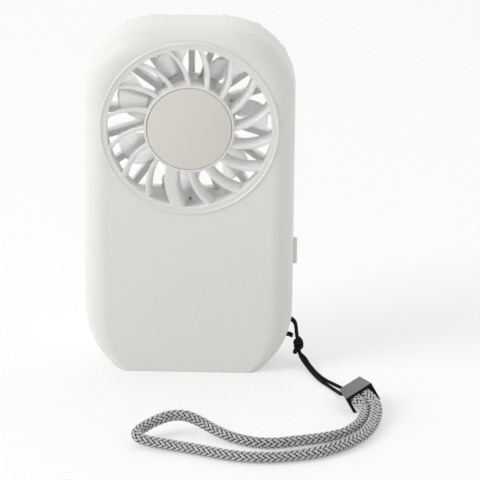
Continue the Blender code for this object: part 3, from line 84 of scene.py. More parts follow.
forward = Vector((
    math.sin(AZIMUTH) * math.cos(ELEVATION),
    math.cos(AZIMUTH) * math.cos(ELEVATION),
    -math.sin(ELEVATION),
))
right = Vector((math.cos(AZIMUTH), -math.sin(AZIMUTH), 0))
up = right.cross(forward)
tilted_right = right * math.cos(ROLL) + up * math.sin(ROLL)
tilted_up = up * math.cos(ROLL) - right * math.sin(ROLL)
camera_data = bpy.data.cameras.new("camera")
camera_data.lens = LENS
camera_data.sensor_width = 36
camera_data.clip_end = 20
camera = bpy.data.objects.new("camera", camera_data)
bpy.context.collection.objects.link(camera)
camera.matrix_world = Matrix((
    (tilted_right.x, tilted_up.x, -forward.x, AIM.x - DISTANCE * forward.x),
    (tilted_right.y, tilted_up.y, -forward.y, AIM.y - DISTANCE * forward.y),
    (tilted_right.z, tilted_up.z, -forward.z, AIM.z - DISTANCE * forward.z),
    (0, 0, 0, 1),
))
bpy.context.scene.camera = camera
print("camera at", [round(v, 3) for v in camera.matrix_world.translation])

# %% [markdown]
# ## Making meshes
#
# A moulding is mostly a stack of closed rings that are bridged, or a profile turned about an axis.
# These few helpers make both, cut one mesh with another, and keep flat faces flat in the light with
# a Weighted Normal modifier. Modelling by hand would give the same shapes, but a ring that is written
# as a formula can be changed later by one number.


# %% Placing a mesh
SMOOTH_BELOW = 35


def place(name, bm, material, body=None, angle=SMOOTH_BELOW):
    """Make an object of a bmesh, shade it smooth and let it ride on a body."""
    bmesh.ops.recalc_face_normals(bm, faces=bm.faces)
    mesh = bpy.data.meshes.new(name)
    bm.to_mesh(mesh)
    bm.free()
    mesh.shade_smooth()
    mesh.set_sharp_from_angle(angle=math.radians(angle))
    if material is not None:
        mesh.materials.append(material)
    made = bpy.data.objects.new(name, mesh)
    bpy.context.collection.objects.link(made)
    if body is not None:
        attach(made, body)
    return made


def keep_flat(target):
    """Let the large flat faces set the shading of the rounded edges beside them."""
    step = target.modifiers.new("flat_faces", "WEIGHTED_NORMAL")
    step.keep_sharp = True
    step.weight = 90


print("edges sharper than", SMOOTH_BELOW, "degrees stay crisp")


# %% Lofts and turnings
def lofted(name, stacks, material=None, body=None):
    """Bridge each stack of rings of equal count, and close both of its ends."""
    bm = bmesh.new()
    for rings in stacks:
        rows = [[bm.verts.new(point) for point in ring] for ring in rings]
        count = len(rows[0])
        for first, second in zip(rows, rows[1:]):
            for i in range(count):
                j = (i + 1) % count
                bm.faces.new((first[i], first[j], second[j], second[i]))
        bm.faces.new(rows[0])
        bm.faces.new(list(reversed(rows[-1])))
    return place(name, bm, material, body)


def turned(name, profile, material=None, body=None, centre=(0, 0), steps=128):
    """Turn a profile of (radius, y) points about an axis along Y. One that meets the axis is open."""
    bm = bmesh.new()
    cx, cz = centre
    rows = []
    for i in range(steps):
        angle = math.tau * i / steps
        rows.append([bm.verts.new((cx + r * math.cos(angle), y, cz + r * math.sin(angle)))
                     for r, y in profile])
    count = len(profile)
    meets_axis = min(r for r, y in profile) <= 0
    for first, second in zip(rows, rows[1:] + rows[:1]):
        for i in range(count - meets_axis):
            j = (i + 1) % count
            bm.faces.new((first[i], first[j], second[j], second[i]))
    bmesh.ops.remove_doubles(bm, verts=bm.verts, dist=1e-7)
    return place(name, bm, material, body)


print("ready: lofted, turned")


# %% Cuts and outlines
def carve(target, tools):
    """Apply Boolean steps in turn, then drop the tools. Each is (operation, tool)."""
    for operation, tool in tools:
        step = target.modifiers.new("carve", "BOOLEAN")
        step.operation = operation
        step.solver = "EXACT"
        step.object = tool
    bpy.context.view_layer.update()
    done = bpy.data.meshes.new_from_object(
        target.evaluated_get(bpy.context.evaluated_depsgraph_get())
    )
    target.modifiers.clear()
    target.data = done
    for operation, tool in tools:
        bpy.data.objects.remove(tool)
    done.shade_smooth()
    done.set_sharp_from_angle(angle=math.radians(SMOOTH_BELOW))
    return target


def disc(x, z, radius, y, steps=48):
    return [(x + radius * math.cos(math.tau * i / steps), y,
             z + radius * math.sin(math.tau * i / steps)) for i in range(steps)]


def stadium(length, width, steps=32):
    """A pill's outline about the origin: its width lies along the first axis."""
    radius, reach = width / 2, length / 2 - width / 2
    points = []
    for side in (1, -1):
        for i in range(steps // 2 + 1):
            angle = math.pi * i / (steps // 2)
            points.append((side * radius * math.cos(angle), side * (reach + radius * math.sin(angle))))
    return points


print("a pill of 2 x 1 has", len(stadium(2, 1)), "corners")

# %% [markdown]
# ## Materials
#
# Moulded plastic is never one flat colour: it has a fine eroded grain, a slow drift in tone and in
# gloss. An image would repeat and blur, so each material below is a Principled shader whose colour,
# roughness and bump come from noise at the scale that the real surface has.


# %% Grained surfaces
def shader_of(name):
    made = bpy.data.materials.new(name)
    made.use_nodes = True
    return made, made.node_tree, made.node_tree.nodes["Principled BSDF"]


def add(tree, kind, **settings):
    """Add a node. Each setting goes to the socket of that name, or else to the node itself."""
    made = tree.nodes.new(kind)
    for key, value in settings.items():
        if key in made.inputs:
            made.inputs[key].default_value = value
        else:
            setattr(made, key, value)
    return made


def two_tones(tree, dark, light, low, high):
    """A ramp that turns the values from low to high into the tones from dark to light."""
    ramp = add(tree, "ShaderNodeValToRGB")
    for stop, position, tone in zip(ramp.color_ramp.elements, (low, high), (dark, light)):
        stop.position = position
        stop.color = (*tone, 1)
    return ramp


def grained(name, light, dark, rough, grain=2600.0, depth=0.00001, drift=45.0, metallic=0.0,
            specular=0.5, stretch=(1, 1, 1), transmission=0.0, subsurface=0.0, ior=1.47, deep=0.0015):
    """Noise mixes two tones, spreads the roughness and raises a fine grain."""
    made, tree, shader = shader_of(name)
    link = tree.links.new
    where = add(tree, "ShaderNodeTexCoord")
    mapping = add(tree, "ShaderNodeMapping", Scale=stretch)
    link(where.outputs["Object"], mapping.inputs["Vector"])
    slow = add(tree, "ShaderNodeTexNoise", Scale=drift, Detail=3.0)
    fine = add(tree, "ShaderNodeTexNoise", Scale=grain, Detail=4.0, Roughness=0.6)
    link(mapping.outputs["Vector"], slow.inputs["Vector"])
    link(mapping.outputs["Vector"], fine.inputs["Vector"])
    ramp = two_tones(tree, dark, light, 0.35, 0.65)
    link(slow.outputs["Fac"], ramp.inputs["Fac"])
    link(ramp.outputs["Color"], shader.inputs["Base Color"])
    spread = add(tree, "ShaderNodeMapRange", **{"To Min": rough[0], "To Max": rough[1]})
    link(fine.outputs["Fac"], spread.inputs["Value"])
    link(spread.outputs["Result"], shader.inputs["Roughness"])
    bump = add(tree, "ShaderNodeBump", Strength=0.6, Distance=depth)
    link(fine.outputs["Fac"], bump.inputs["Height"])
    link(bump.outputs["Normal"], shader.inputs["Normal"])
    for socket, value in (
            ("Metallic", metallic), ("Specular IOR Level", specular), ("Transmission Weight", transmission),
            ("Subsurface Weight", subsurface), ("Subsurface Radius", (1.0, 1.0, 1.0)),
            ("Subsurface Scale", deep), ("IOR", ior)):
        shader.inputs[socket].default_value = value
    return made


print("ready: grained")

# %% [markdown]
# ## Thread
#
# A yarn shines and darkens along its fibres. Where it dives under its neighbours little light gets into the
# gaps between real stitches, and that shade is painted into the yarn's colour. The fibres are noise that is
# stretched along the yarn's own UV map. A second UV map, "lift", says how high the yarn lies at each point,
# and the painted shade follows it, so the dark gaps follow the weave and need no picture.


# %% Yarn
def yarn(name, light, dark, rough, along=260.0, around=5.0, sheen=0.3, specular=0.15, under=1.0):
    """Thread: fibres run along it, read from the mesh's own UV (length, turn)."""
    made, tree, shader = shader_of(name)
    link = tree.links.new
    uv = add(tree, "ShaderNodeUVMap", uv_map="thread")
    mapping = add(tree, "ShaderNodeMapping", Scale=(along, around, 1), Rotation=(0, 0, 0.35))
    link(uv.outputs["UV"], mapping.inputs["Vector"])
    fibres = add(tree, "ShaderNodeTexNoise", Scale=1.0, Detail=5.0, Roughness=0.7)
    link(mapping.outputs["Vector"], fibres.inputs["Vector"])
    where = add(tree, "ShaderNodeTexCoord")
    patchy = add(tree, "ShaderNodeTexNoise", Scale=700.0, Detail=3.0)
    link(where.outputs["Object"], patchy.inputs["Vector"])
    mix = add(tree, "ShaderNodeMath", operation="MULTIPLY_ADD")
    mix.inputs[1].default_value = 0.45
    link(patchy.outputs["Fac"], mix.inputs[0])
    scaled = add(tree, "ShaderNodeMath", operation="MULTIPLY")
    scaled.inputs[1].default_value = 0.55
    link(fibres.outputs["Fac"], scaled.inputs[0])
    link(scaled.outputs["Value"], mix.inputs[2])
    ramp = two_tones(tree, dark, light, 0.36, 0.62)
    link(mix.outputs["Value"], ramp.inputs["Fac"])
    # painted shade: the colour is darkened down to the share under where the lift map says the yarn lies low
    level = add(tree, "ShaderNodeUVMap", uv_map="lift")
    parts = add(tree, "ShaderNodeSeparateXYZ")
    link(level.outputs["UV"], parts.inputs["Vector"])
    shade = add(tree, "ShaderNodeMapRange", interpolation_type="SMOOTHSTEP",
                **{"From Min": 0.25, "From Max": 0.85, "To Min": under, "To Max": 1.0})
    link(parts.outputs["X"], shade.inputs["Value"])
    painted_under_shade = add(tree, "ShaderNodeMix", data_type="RGBA", blend_type="MULTIPLY")
    painted_under_shade.inputs[0].default_value = 1.0
    link(ramp.outputs["Color"], painted_under_shade.inputs[6])
    link(shade.outputs["Result"], painted_under_shade.inputs[7])
    link(painted_under_shade.outputs[2], shader.inputs["Base Color"])
    bump = add(tree, "ShaderNodeBump", Strength=0.5, Distance=0.00006)
    link(fibres.outputs["Fac"], bump.inputs["Height"])
    link(bump.outputs["Normal"], shader.inputs["Normal"])
    shader.inputs["Roughness"].default_value = rough
    shader.inputs["Sheen Weight"].default_value = sheen
    shader.inputs["Specular IOR Level"].default_value = specular
    return made


print("ready: yarn")

# %% [markdown]
# ## The casing's plastics
#
# All the white parts are one kind of plastic, but they don't look alike. The outside is eroded and dull. The
# rear cover is painted a little lighter than the front shell: painted light on its top shoulder. The faces
# inside the fan are smooth and more light scatters below their surface, and they are also painted much
# lighter than the outside: painted light for the light that reaches them through the thin walls. The blades
# are clear with a little white in it, and bend light less than glass does, so the background shows through
# them without dark rims.

# %% Casing plastics
shell_mat = grained("shell_plastic", (0.76, 0.76, 0.735), (0.75, 0.75, 0.723), (0.40, 0.50), subsurface=0.25)
# painted light: the rear cover is painted a little lighter than the front shell, for the light on its top
# shoulder
cover_painted_lighter_mat = grained("cover_plastic_painted_lighter", (0.82, 0.82, 0.80), (0.81, 0.81, 0.788), (0.40, 0.50), subsurface=0.25)
# painted light: the faces inside the fan are painted much lighter than the outside, for the light that
# reaches them through the thin walls
inner_painted_light_mat = grained("inner_painted_light_plastic", (0.94, 0.94, 0.92), (0.93, 0.93, 0.908), (0.40, 0.50), subsurface=0.85)
grille_mat = grained("grille_plastic", (0.742, 0.740, 0.712), (0.732, 0.730, 0.702), (0.33, 0.42),
                     subsurface=0.2)
# painted light: the vane walls are painted much lighter than the grille's front, for light on walls that lie
# deep in the ring
vane_wall_painted_light_mat = grained("vane_wall_painted_light_plastic", (0.95, 0.948, 0.925), (0.94, 0.938, 0.915), (0.30, 0.38),
                        subsurface=1.0, deep=0.003)
cap_mat = grained("cap_plastic", (0.692, 0.672, 0.622), (0.678, 0.658, 0.608), (0.44, 0.54), grain=3400.0)
button_mat = grained("button_plastic", (0.74, 0.74, 0.72), (0.73, 0.73, 0.71), (0.36, 0.44))
blade_mat = grained("blade_plastic", (0.99, 0.99, 0.985), (0.98, 0.98, 0.975), (0.38, 0.50), depth=0.000004,
                    transmission=0.88, subsurface=1.0, ior=1.30)
hub_mat = grained("blade_hub_plastic", (0.95, 0.95, 0.94), (0.93, 0.93, 0.92), (0.25, 0.35), depth=0.000004,
                  transmission=0.10, subsurface=1.0, deep=0.003)
print("materials, with the plastics:", len(bpy.data.materials))

# %% [markdown]
# ## Metals and the parts inside
#
# Metal is all reflection: its tone is the colour of its highlight, and its grain shows as uneven
# gloss. The hidden parts get the finish that such parts have, so that an opened fan looks right.

# %% Metals and inner parts
steel_mat = grained("steel", (0.62, 0.62, 0.63), (0.50, 0.50, 0.51), (0.22, 0.36), grain=900.0, metallic=1.0)
brass_mat = grained("brass", (0.80, 0.62, 0.32), (0.66, 0.48, 0.24), (0.24, 0.36), metallic=1.0)
magnet_mat = grained("magnet", (0.07, 0.07, 0.075), (0.035, 0.035, 0.04), (0.5, 0.7))
copper_mat = grained("copper", (0.78, 0.36, 0.17), (0.55, 0.22, 0.10), (0.25, 0.4), grain=1500.0,
                     depth=0.00005, metallic=1.0)
board_mat = grained("solder_mask", (0.03, 0.24, 0.11), (0.02, 0.16, 0.08), (0.3, 0.45), drift=200.0)
black_mat = grained("black_plastic", (0.035, 0.035, 0.035), (0.02, 0.02, 0.02), (0.4, 0.55))
foil_mat = grained("battery_foil", (0.78, 0.79, 0.80), (0.62, 0.63, 0.64), (0.22, 0.38), grain=350.0,
                   depth=0.00008, metallic=0.9)
foam_mat = grained("foam", (0.20, 0.20, 0.20), (0.10, 0.10, 0.10), (0.8, 0.95), grain=1400.0, depth=0.0001)
red_mat = grained("red_lead", (0.62, 0.03, 0.02), (0.50, 0.02, 0.015), (0.35, 0.5))
lead_mat = grained("black_lead", (0.03, 0.03, 0.03), (0.015, 0.015, 0.015), (0.35, 0.5))
clamp_mat = grained("clamp_satin", (0.18, 0.18, 0.178), (0.145, 0.145, 0.143), (0.30, 0.42), grain=1800.0,
                    stretch=(1, 0.25, 1), metallic=0.55)
# painted shade: the inside of the clamp and its mouth's edge are near-black
clamp_mouth_shade_mat = grained("clamp_mouth_painted_shade", (0.010, 0.010, 0.010), (0.006, 0.006, 0.006), (0.55, 0.7),
                         specular=0.12)
print("materials, with the metals:", len(bpy.data.materials))

# %% Threads
# painted shade: where the strap's yarns dive under, their colour drops to a tenth
strap_mat = yarn("strap_yarn", (0.66, 0.66, 0.645), (0.40, 0.40, 0.39), 0.62, under=0.10)
# the core is near-black: the black cords' own colour, and in the grey strap painted shade in the gaps between
# the yarns
dark_core_and_gap_shade_mat = grained("core_black_and_gap_shade", (0.04, 0.04, 0.04), (0.02, 0.02, 0.02), (0.8, 0.95))
cord_mat = yarn("cord_yarn", (0.022, 0.022, 0.022), (0.008, 0.008, 0.008), 0.7, sheen=0.0, specular=0.05)
print("materials, with the threads:", len(bpy.data.materials))

# %% [markdown]
# ## Curves for cords
#
# A limp cord follows a smooth curve through a few chosen points. Blender's own curves would do, but
# the yarns below need a direction at every station, so the curve is worked out here and read at even
# steps, with a sideways vector that is carried along without twist.


# %% Smooth curves
CURVE_STEPS = 24


def smooth_points(route, step):
    """Points at even steps on a smooth curve through the route, with their whole length."""
    dense = []
    points = [Vector(p) for p in route]
    points = [points[0] * 2 - points[1]] + points + [points[-1] * 2 - points[-2]]
    for a, b, c, d in zip(points, points[1:], points[2:], points[3:]):
        for i in range(CURVE_STEPS):
            t = i / CURVE_STEPS
            dense.append((
                2 * b + (c - a) * t + (2 * a - 5 * b + 4 * c - d) * t * t
                + (3 * b - 3 * c + d - a) * t * t * t
            ) / 2)
    dense.append(points[-2])
    lengths = [0.0]
    for a, b in zip(dense, dense[1:]):
        lengths.append(lengths[-1] + (b - a).length)
    total = lengths[-1]
    count = max(2, round(total / step))
    chosen, at = [], 0
    for k in range(count + 1):
        mark = total * k / count
        while at < len(lengths) - 2 and lengths[at + 1] < mark:
            at += 1
        span = lengths[at + 1] - lengths[at]
        chosen.append(dense[at].lerp(dense[at + 1], (mark - lengths[at]) / span if span > 0 else 0))
    return chosen, total


def frames_along(points):
    """A direction and two sideways vectors at each point, carried on without twist."""
    frames = []
    side = None
    for i, point in enumerate(points):
        way = (points[min(i + 1, len(points) - 1)] - points[max(i - 1, 0)]).normalized()
        if side is None:
            side = way.orthogonal().normalized()
        side = (side - way * side.dot(way)).normalized()
        frames.append((point, way, side, way.cross(side)))
    return frames


bend = [(0, 0, 0), (0.005, 0.001, 0), (0.01, 0, 0)]
print("stations on a bend of 10 mm:", len(smooth_points(bend, 0.001)[0]))

# %% [markdown]
# ## Where the lanyard lies
#
# The doubled cord hangs from the eyelet's bar, goes through its knot and falls to the clamp. The clamp
# is tilted and half rolled on its side, so it has its own three directions: across (w), along (u) and
# down through it (l). The strap runs from the clamp in one loop over the table and back. All points
# were read off the photograph, and the solid model uses nearly the same ones. Near the clamp the
# strap's two strands lie a little closer together here, as they do in the photograph.

# %% Lanyard sizes
GAP = 0.0003
CORD_DIAMETER, CORD_SPACING = 0.0011, 0.0014
STRAP_DIAMETER = 0.0036
CLAMP_LENGTH, CLAMP_WALL, CLAMP_GRIP = 0.0100, 0.0005, 0.0036
KNOT_LENGTH = 0.0050
EYELET_Y, EYELET_BAR_X = 0.0010, 0.0310
EYELET_SLOTS = (0.0087, 0.0105), (0.0142, 0.0160)
SIDE_X = 0.0350


def beside(x, y, z):
    """A lanyard point in millimetres, counted in x from the casing's right side."""
    return Vector((SIDE_X, 0, 0)) + Vector((x, y, z)) / 1000


clamp_origin = beside(19.6, -35.8, 6.6)
clamp_u = Vector((0.290, -0.955, 0.092)).normalized()
clamp_w = Vector((0.775, 0.257, 0.433))
clamp_w = (clamp_w - clamp_u * clamp_w.dot(clamp_u)).normalized()
clamp_l = clamp_w.cross(clamp_u)
if clamp_l.z > 0:
    clamp_l = -clamp_l


def clamp_point(w, u, l):
    return clamp_origin + clamp_w * w + clamp_u * u + clamp_l * l


print("the clamp's rear edge is", round(clamp_origin.z * 1000, 1), "mm above the table")

# %% Cord routes
lean = Vector((0.165, -0.375, -0.912)).normalized()
knot_centre = beside(2.2, -2.0, 7.0)
across = (Vector((0, 1, 0)) - lean * lean.y).normalized()
side_on = across.cross(lean)
slot_low, slot_high = (sum(slot) / 2 for slot in EYELET_SLOTS)
turn_radius = (slot_high - slot_low) / 2
BAR_STEPS = 10
bar_route = []
for i in range(BAR_STEPS):
    angle = math.radians(270 - 20 * i)
    bar_route.append((EYELET_BAR_X + turn_radius * math.cos(angle),
                      (slot_low + slot_high) / 2 + turn_radius * math.sin(angle)))
knot_half = lean * (KNOT_LENGTH / 2 + GAP * 2)
fall_route = [beside(*p) for p in (
    (4.1, -5.6, 2.9), (5.9, -8.9, 1.5), (8.1, -13.9, 0.8), (10.7, -19.5, 0.7),
    (13.7, -24.1, 0.75), (15.9, -28.0, 1.0), (17.3, -31.6, 1.7), (18.2, -35.2, 2.7),
)]
fall_sides = [Vector(v).normalized() * spread for v, spread in (
    ((0.90, 0.42, 0), 0.85), ((0.93, 0.36, 0), 0.80), ((0.93, 0.36, 0), 0.85), ((0.93, 0.36, 0.08), 1.10),
    ((0.92, 0.36, 0.16), 1.45), ((0.90, 0.33, 0.26), 1.65), ((0.88, 0.30, 0.36), 1.70),
    ((0.86, 0.28, 0.40), 1.60),
)]
SPREAD_IN_CLAMP = 1.5


def cord_route(sign):
    """One strand of the pair, moved sideways by half of their spacing."""
    apart = sign * CORD_SPACING / 2
    sideways = Vector((0, apart, 0))
    route = [beside(0.1, -0.5, 9.3) + sideways, beside(-1.1, 0.3, 9.5) + sideways]
    for x, z in bar_route:
        route.append(Vector((x, EYELET_Y, z)) + sideways)
    for point in ((-1.7, 0.95, 15.05), (-0.2, 0.75, 14.75), (0.95, 0.35, 13.75), (1.4, -0.1, 12.3)):
        route.append(beside(*point) + sideways)
    for along in (-1, 0, 1):
        route.append(knot_centre + knot_half * along + across * apart)
    for point, side in zip(fall_route, fall_sides):
        route.append(point + side * apart)
    route.append(clamp_point(apart * SPREAD_IN_CLAMP, CLAMP_GRIP, CLAMP_WALL + GAP + CORD_DIAMETER * 1.4))
    return route


print("each cord's route has", len(cord_route(1)), "points")

# %% Strap route
strap_route = [beside(*p) for p in (
    (24.3, -48.4, 3.4), (24.7, -51.4, 2.7), (23.9, -56.4, 2.2), (21.8, -62.6, 2.1),
    (17.9, -68.3, 2.05), (12.2, -71.9, 2.0), (6.8, -74.0, 2.0), (1.6, -75.7, 2.0), (-3.5, -77.3, 2.0),
    (-8.7, -77.6, 2.0), (-13.9, -76.0, 2.0), (-19.2, -72.9, 2.1), (-24.2, -69.2, 2.8), (-27.8, -66.7, 3.8),
    (-31.1, -65.5, 5.0), (-34.4, -65.2, 5.9), (-38.2, -65.9, 6.1), (-42.1, -67.8, 5.6), (-45.5, -70.3, 4.8),
    (-48.3, -73.3, 4.0), (-49.3, -75.8, 3.5), (-48.1, -77.8, 3.0), (-44.8, -79.2, 2.6), (-39.6, -80.4, 2.2),
    (-34.4, -81.9, 2.0), (-29.1, -83.9, 2.0), (-23.9, -86.1, 2.0), (-18.8, -88.0, 2.0), (-13.6, -89.1, 2.0),
    (-8.5, -89.3, 2.0), (-3.4, -88.8, 2.0), (1.7, -87.6, 2.1), (6.8, -85.9, 2.15), (11.8, -83.0, 2.15),
    (16.8, -79.0, 2.15), (20.7, -74.7, 2.15), (24.3, -69.0, 2.15), (26.8, -61.5, 2.25), (28.2, -54.6, 3.1),
    (28.1, -49.4, 4.5),
)]
strand = STRAP_DIAMETER / 2 + GAP / 2
strap_level = CLAMP_WALL + GAP + STRAP_DIAMETER / 2
strap_inner = CLAMP_GRIP + GAP * 2
strap_route = (
    [clamp_point(-strand, strap_inner, strap_level),
     clamp_point(-strand, CLAMP_LENGTH, strap_level + GAP)]
    + strap_route
    + [clamp_point(strand, CLAMP_LENGTH, strap_level + GAP),
       clamp_point(strand, strap_inner, strap_level)]
)
print("strap", round(smooth_points(strap_route, 0.003)[1], 4), "m")

# %% [markdown]
# ## The braided wrist strap
#
# A round braid is two families of yarns that wind round a core in opposite directions and pass over
# and under each other, two by two. A bump map would look right from the front only, so each yarn here
# is its own flattened tube on a helix round the route, and its distance from the middle swings in and
# out where it crosses the others.


# %% Tubes with a thread map
def sweep(bm, stations, lifts=None):
    """Bridge cross-sections and write (length, turn) and the yarn's lift into two UV maps."""
    layers = bm.loops.layers.uv
    for name in ("thread", "lift"):
        if layers.get(name) is None:
            layers.new(name)
    thread, lift = layers["thread"], layers["lift"]
    rows = [([bm.verts.new(point) for point in ring], at) for ring, at in stations]
    lifts = lifts or [1.0] * len(rows)
    for (first, start), (second, end), low, high in zip(rows, rows[1:], lifts, lifts[1:]):
        count = len(first)
        for i in range(count):
            j = (i + 1) % count
            face = bm.faces.new((first[i], first[j], second[j], second[i]))
            for loop, place_uv in zip(
                face.loops, ((start, i / count), (start, (i + 1) / count),
                             (end, (i + 1) / count), (end, i / count))
            ):
                loop[thread].uv = (place_uv[0] * 10, place_uv[1])
                loop[lift].uv = (low if place_uv[0] == start else high, 0)
    bm.faces.new(list(reversed(rows[0][0])))
    bm.faces.new(rows[-1][0])


def flat_tube(points, widths, outward, across_way, sides=6):
    stations = []
    length = 0.0
    for i, point in enumerate(points):
        if i:
            length += (point - points[i - 1]).length
        ring = []
        for j in range(sides):
            angle = math.tau * (j + 0.5) / sides
            ring.append(point + across_way[i] * (widths[0] / 2 * math.cos(angle))
                        + outward[i] * (widths[1] / 2 * math.sin(angle)))
        stations.append((ring, length))
    return stations


print("ready: sweep, flat_tube")


# %% Braid
def between(knots, at):
    """Read a value off (place, value) knots, with a soft step from one to the next."""
    for (low, first), (high, second) in zip(knots, knots[1:]):
        if at <= high:
            t = (at - low) / (high - low)
            return first + (second - first) * t * t * (3 - 2 * t)
    return knots[-1][1]


EVEN = ((0.0, 1.0), (1.0, 1.0))
STATIONS_PER_CROSSING = 3
SOFT_BELOW = 80


def braid(name, route, yarns, lead, radius, swing, width, thickness, per_cross, material, core, body,
          fullness=EVEN):
    """Interlaced yarns round a route, with a dark core that closes the gaps between them; in a light braid
    its near-black is painted shade in the gaps.
    """
    step = lead / (2 * yarns) / per_cross
    points, total = smooth_points(route, step)
    frames = frames_along(points)
    bm = bmesh.new()
    for hand in (1, -1):
        for k in range(yarns):
            centres, out, lifts, fulls = [], [], [], []
            for i, (point, way, side, other) in enumerate(frames):
                at = i / (len(frames) - 1) * total
                angle = hand * (math.tau * at / lead) + math.tau * k / yarns
                # where the two families cross, one is up when the other is down
                phase = math.pi * yarns * at / lead
                lift = math.sin(phase + hand * (math.pi * k + math.pi / 4))
                away = side * math.cos(angle) + other * math.sin(angle)
                level = max(-1.0, min(1.0, 1.6 * lift))
                fulls.append(between(fullness, at / total))
                centres.append(point + away * (radius + swing * level) * fulls[-1])
                lifts.append((1 + level) / 2)
                out.append(away)
            across_ways = []
            for i in range(len(centres)):
                run = (centres[min(i + 1, len(centres) - 1)] - centres[max(i - 1, 0)]).normalized()
                across_ways.append(run.cross(out[i]).normalized() * fulls[i])
            sweep(bm, flat_tube(centres, (width, thickness), out, across_ways), lifts)
    made = place(name, bm, material, body, angle=SOFT_BELOW)
    bm = bmesh.new()
    coarse = smooth_points(route, radius)[0]
    stations = []
    for i, (point, way, side, other) in enumerate(frames_along(coarse)):
        ring = [point + (side * math.cos(math.tau * j / 12) + other * math.sin(math.tau * j / 12))
                * (radius - thickness * 0.35) * between(fullness, i / (len(coarse) - 1)) for j in range(12)]
        stations.append((ring, i * radius))
    sweep(bm, stations)
    inside = place(name + "_core", bm, core, None)
    inside.parent = made
    return made, total


print("ready: braid")

# %% Strap
BRAID_YARNS, BRAID_LEAD, BRAID_SWING = 8, 0.0156, 0.00017
YARN_WIDTH, YARN_THICKNESS = 0.00078, 0.00034
BRAID_RADIUS = STRAP_DIAMETER / 2 - YARN_THICKNESS / 2 - 0.0001
# the strap is fuller where its two strands run side by side into the clamp
STRAP_FULLNESS = ((0.0, 1.0), (0.03, 1.0), (0.08, 1.06), (0.15, 1.0), (0.70, 1.0), (0.77, 1.12),
                  (0.93, 1.12), (0.97, 1.0), (1.0, 1.0))
strap, strap_length = braid("braided_strap", strap_route, BRAID_YARNS, BRAID_LEAD, BRAID_RADIUS,
                            BRAID_SWING, YARN_WIDTH, YARN_THICKNESS, STATIONS_PER_CROSSING, strap_mat,
                            dark_core_and_gap_shade_mat, "housing", STRAP_FULLNESS)
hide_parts("wrist_strap")
[tuple(p) for p in smooth_points(strap_route, 0.002)[0]]
print("strap yarns:", 2 * BRAID_YARNS, "faces:", len(strap.data.polygons))

# %% [markdown]
# ## The thin cords and their knot
#
# Two black cords come out of the knot, go round the bar of the eyelet and back through the knot to the
# clamp. Each is a round woven cord, so a finer version of the same braid is used. The knot is the same
# cord wound round the pair and pulled tight, with its cut tail. Its threads are too fine to show, so
# plain round tubes with the thread material are enough.

# %% Cords
CORD_YARNS, CORD_LEAD, CORD_SWING = 4, 0.0034, 0.00004
CORD_YARN_WIDTH, CORD_YARN_THICKNESS = 0.00052, 0.00020
cord_pieces = []
for name, sign, node in (("cord_one", -1, "lanyard_cord_front"), ("cord_two", 1, "lanyard_cord_back")):
    route = cord_route(sign)
    piece, length = braid(name, route, CORD_YARNS, CORD_LEAD, CORD_DIAMETER / 2 - 0.00009, CORD_SWING,
                          CORD_YARN_WIDTH, CORD_YARN_THICKNESS, STATIONS_PER_CROSSING, cord_mat,
                          dark_core_and_gap_shade_mat, "housing")
    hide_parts(node)
    cord_pieces.append((piece, route, length))
print("cords", [round(length, 4) for piece, route, length in cord_pieces])


# %% Knot
def round_tube(bm, points, radius, sides=12):
    stations = []
    length = 0.0
    for i, (point, way, side, other) in enumerate(frames_along(points)):
        if i:
            length += (point - points[i - 1]).length
        taper = radius if 0 < i < len(points) - 1 else radius * 0.8
        ring = [point + (side * math.cos(math.tau * j / sides) + other * math.sin(math.tau * j / sides))
                * taper for j in range(sides)]
        stations.append((ring, length))
    sweep(bm, stations)


WRAP_TURNS, WRAP_RISE, WRAP_THIN, WRAP_WIDE = 2.6, 0.0029, 0.00112, 0.00178
WRAP_STEPS, BELLY_STEPS, TAIL_STEPS = 60, 14, 6
bm = bmesh.new()
wraps = []
for i in range(WRAP_STEPS + 1):
    t = i / WRAP_STEPS
    angle = math.tau * WRAP_TURNS * t + 0.6
    rise = (t - 0.5) * WRAP_RISE + 0.0004 * math.sin(angle)
    thin = WRAP_THIN + 0.00008 * math.sin(3 * angle)
    wraps.append(knot_centre + lean * rise + side_on * (thin * math.cos(angle))
                 + across * (WRAP_WIDE * math.sin(angle)))
round_tube(bm, wraps, CORD_DIAMETER / 2)
belly = []
for i in range(BELLY_STEPS + 1):
    t = i / BELLY_STEPS
    belly.append(knot_centre + lean * ((t - 0.5) * 0.0042)
                 - side_on * (0.0009 * math.sin(math.pi * t) + 0.0004) + across * (0.0012 * (t - 0.5)))
round_tube(bm, belly, CORD_DIAMETER / 2)
down = Vector((-0.35, -0.1, -1)).normalized()
tail_start = knot_centre + lean * (KNOT_LENGTH / 4) + side_on * 0.0006
tail = [tail_start + down * (0.0024 * k / TAIL_STEPS) for k in range(TAIL_STEPS + 1)]
round_tube(bm, tail, 0.0008)
knot = place("pulled_knot", bm, cord_mat, "housing", angle=SOFT_BELOW)
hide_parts("cord_knot")
print("knot faces:", len(knot.data.polygons))

# %% [markdown]
# ## The clamp
#
# A folded wedge of grey metal, satin outside; its inside and the mouth's edge are painted near-black, as
# painted shade in the hollow. It is one tapered block less another, and less a slab under the table, so its
# cheeks stand on the table as the real ones do. The cuts leave faces of both kinds in one mesh, so each face
# picks its material by where it lies: satin or painted shade.


# %% Clamp
CLAMP_REAR_WIDTH, CLAMP_FRONT_WIDTH = 0.0080, 0.0101
CLAMP_REAR_HEIGHT, CLAMP_FRONT_HEIGHT = 0.0022, 0.0068
CLAMP_CHEEK, CLAMP_BROW, OVERCUT = 0.0010, 0.00095, 0.002
TABLE_REACH, TABLE_DEPTH, ABOVE_TABLE = 0.02, 0.005, 0.00005


def wedge_rings(rear, front):
    rings = []
    for u, half, top, bottom in (rear, front):
        rings.append([clamp_point(w, u, l)
                      for w, l in ((-half, top), (half, top), (half, bottom), (-half, bottom))])
    return rings


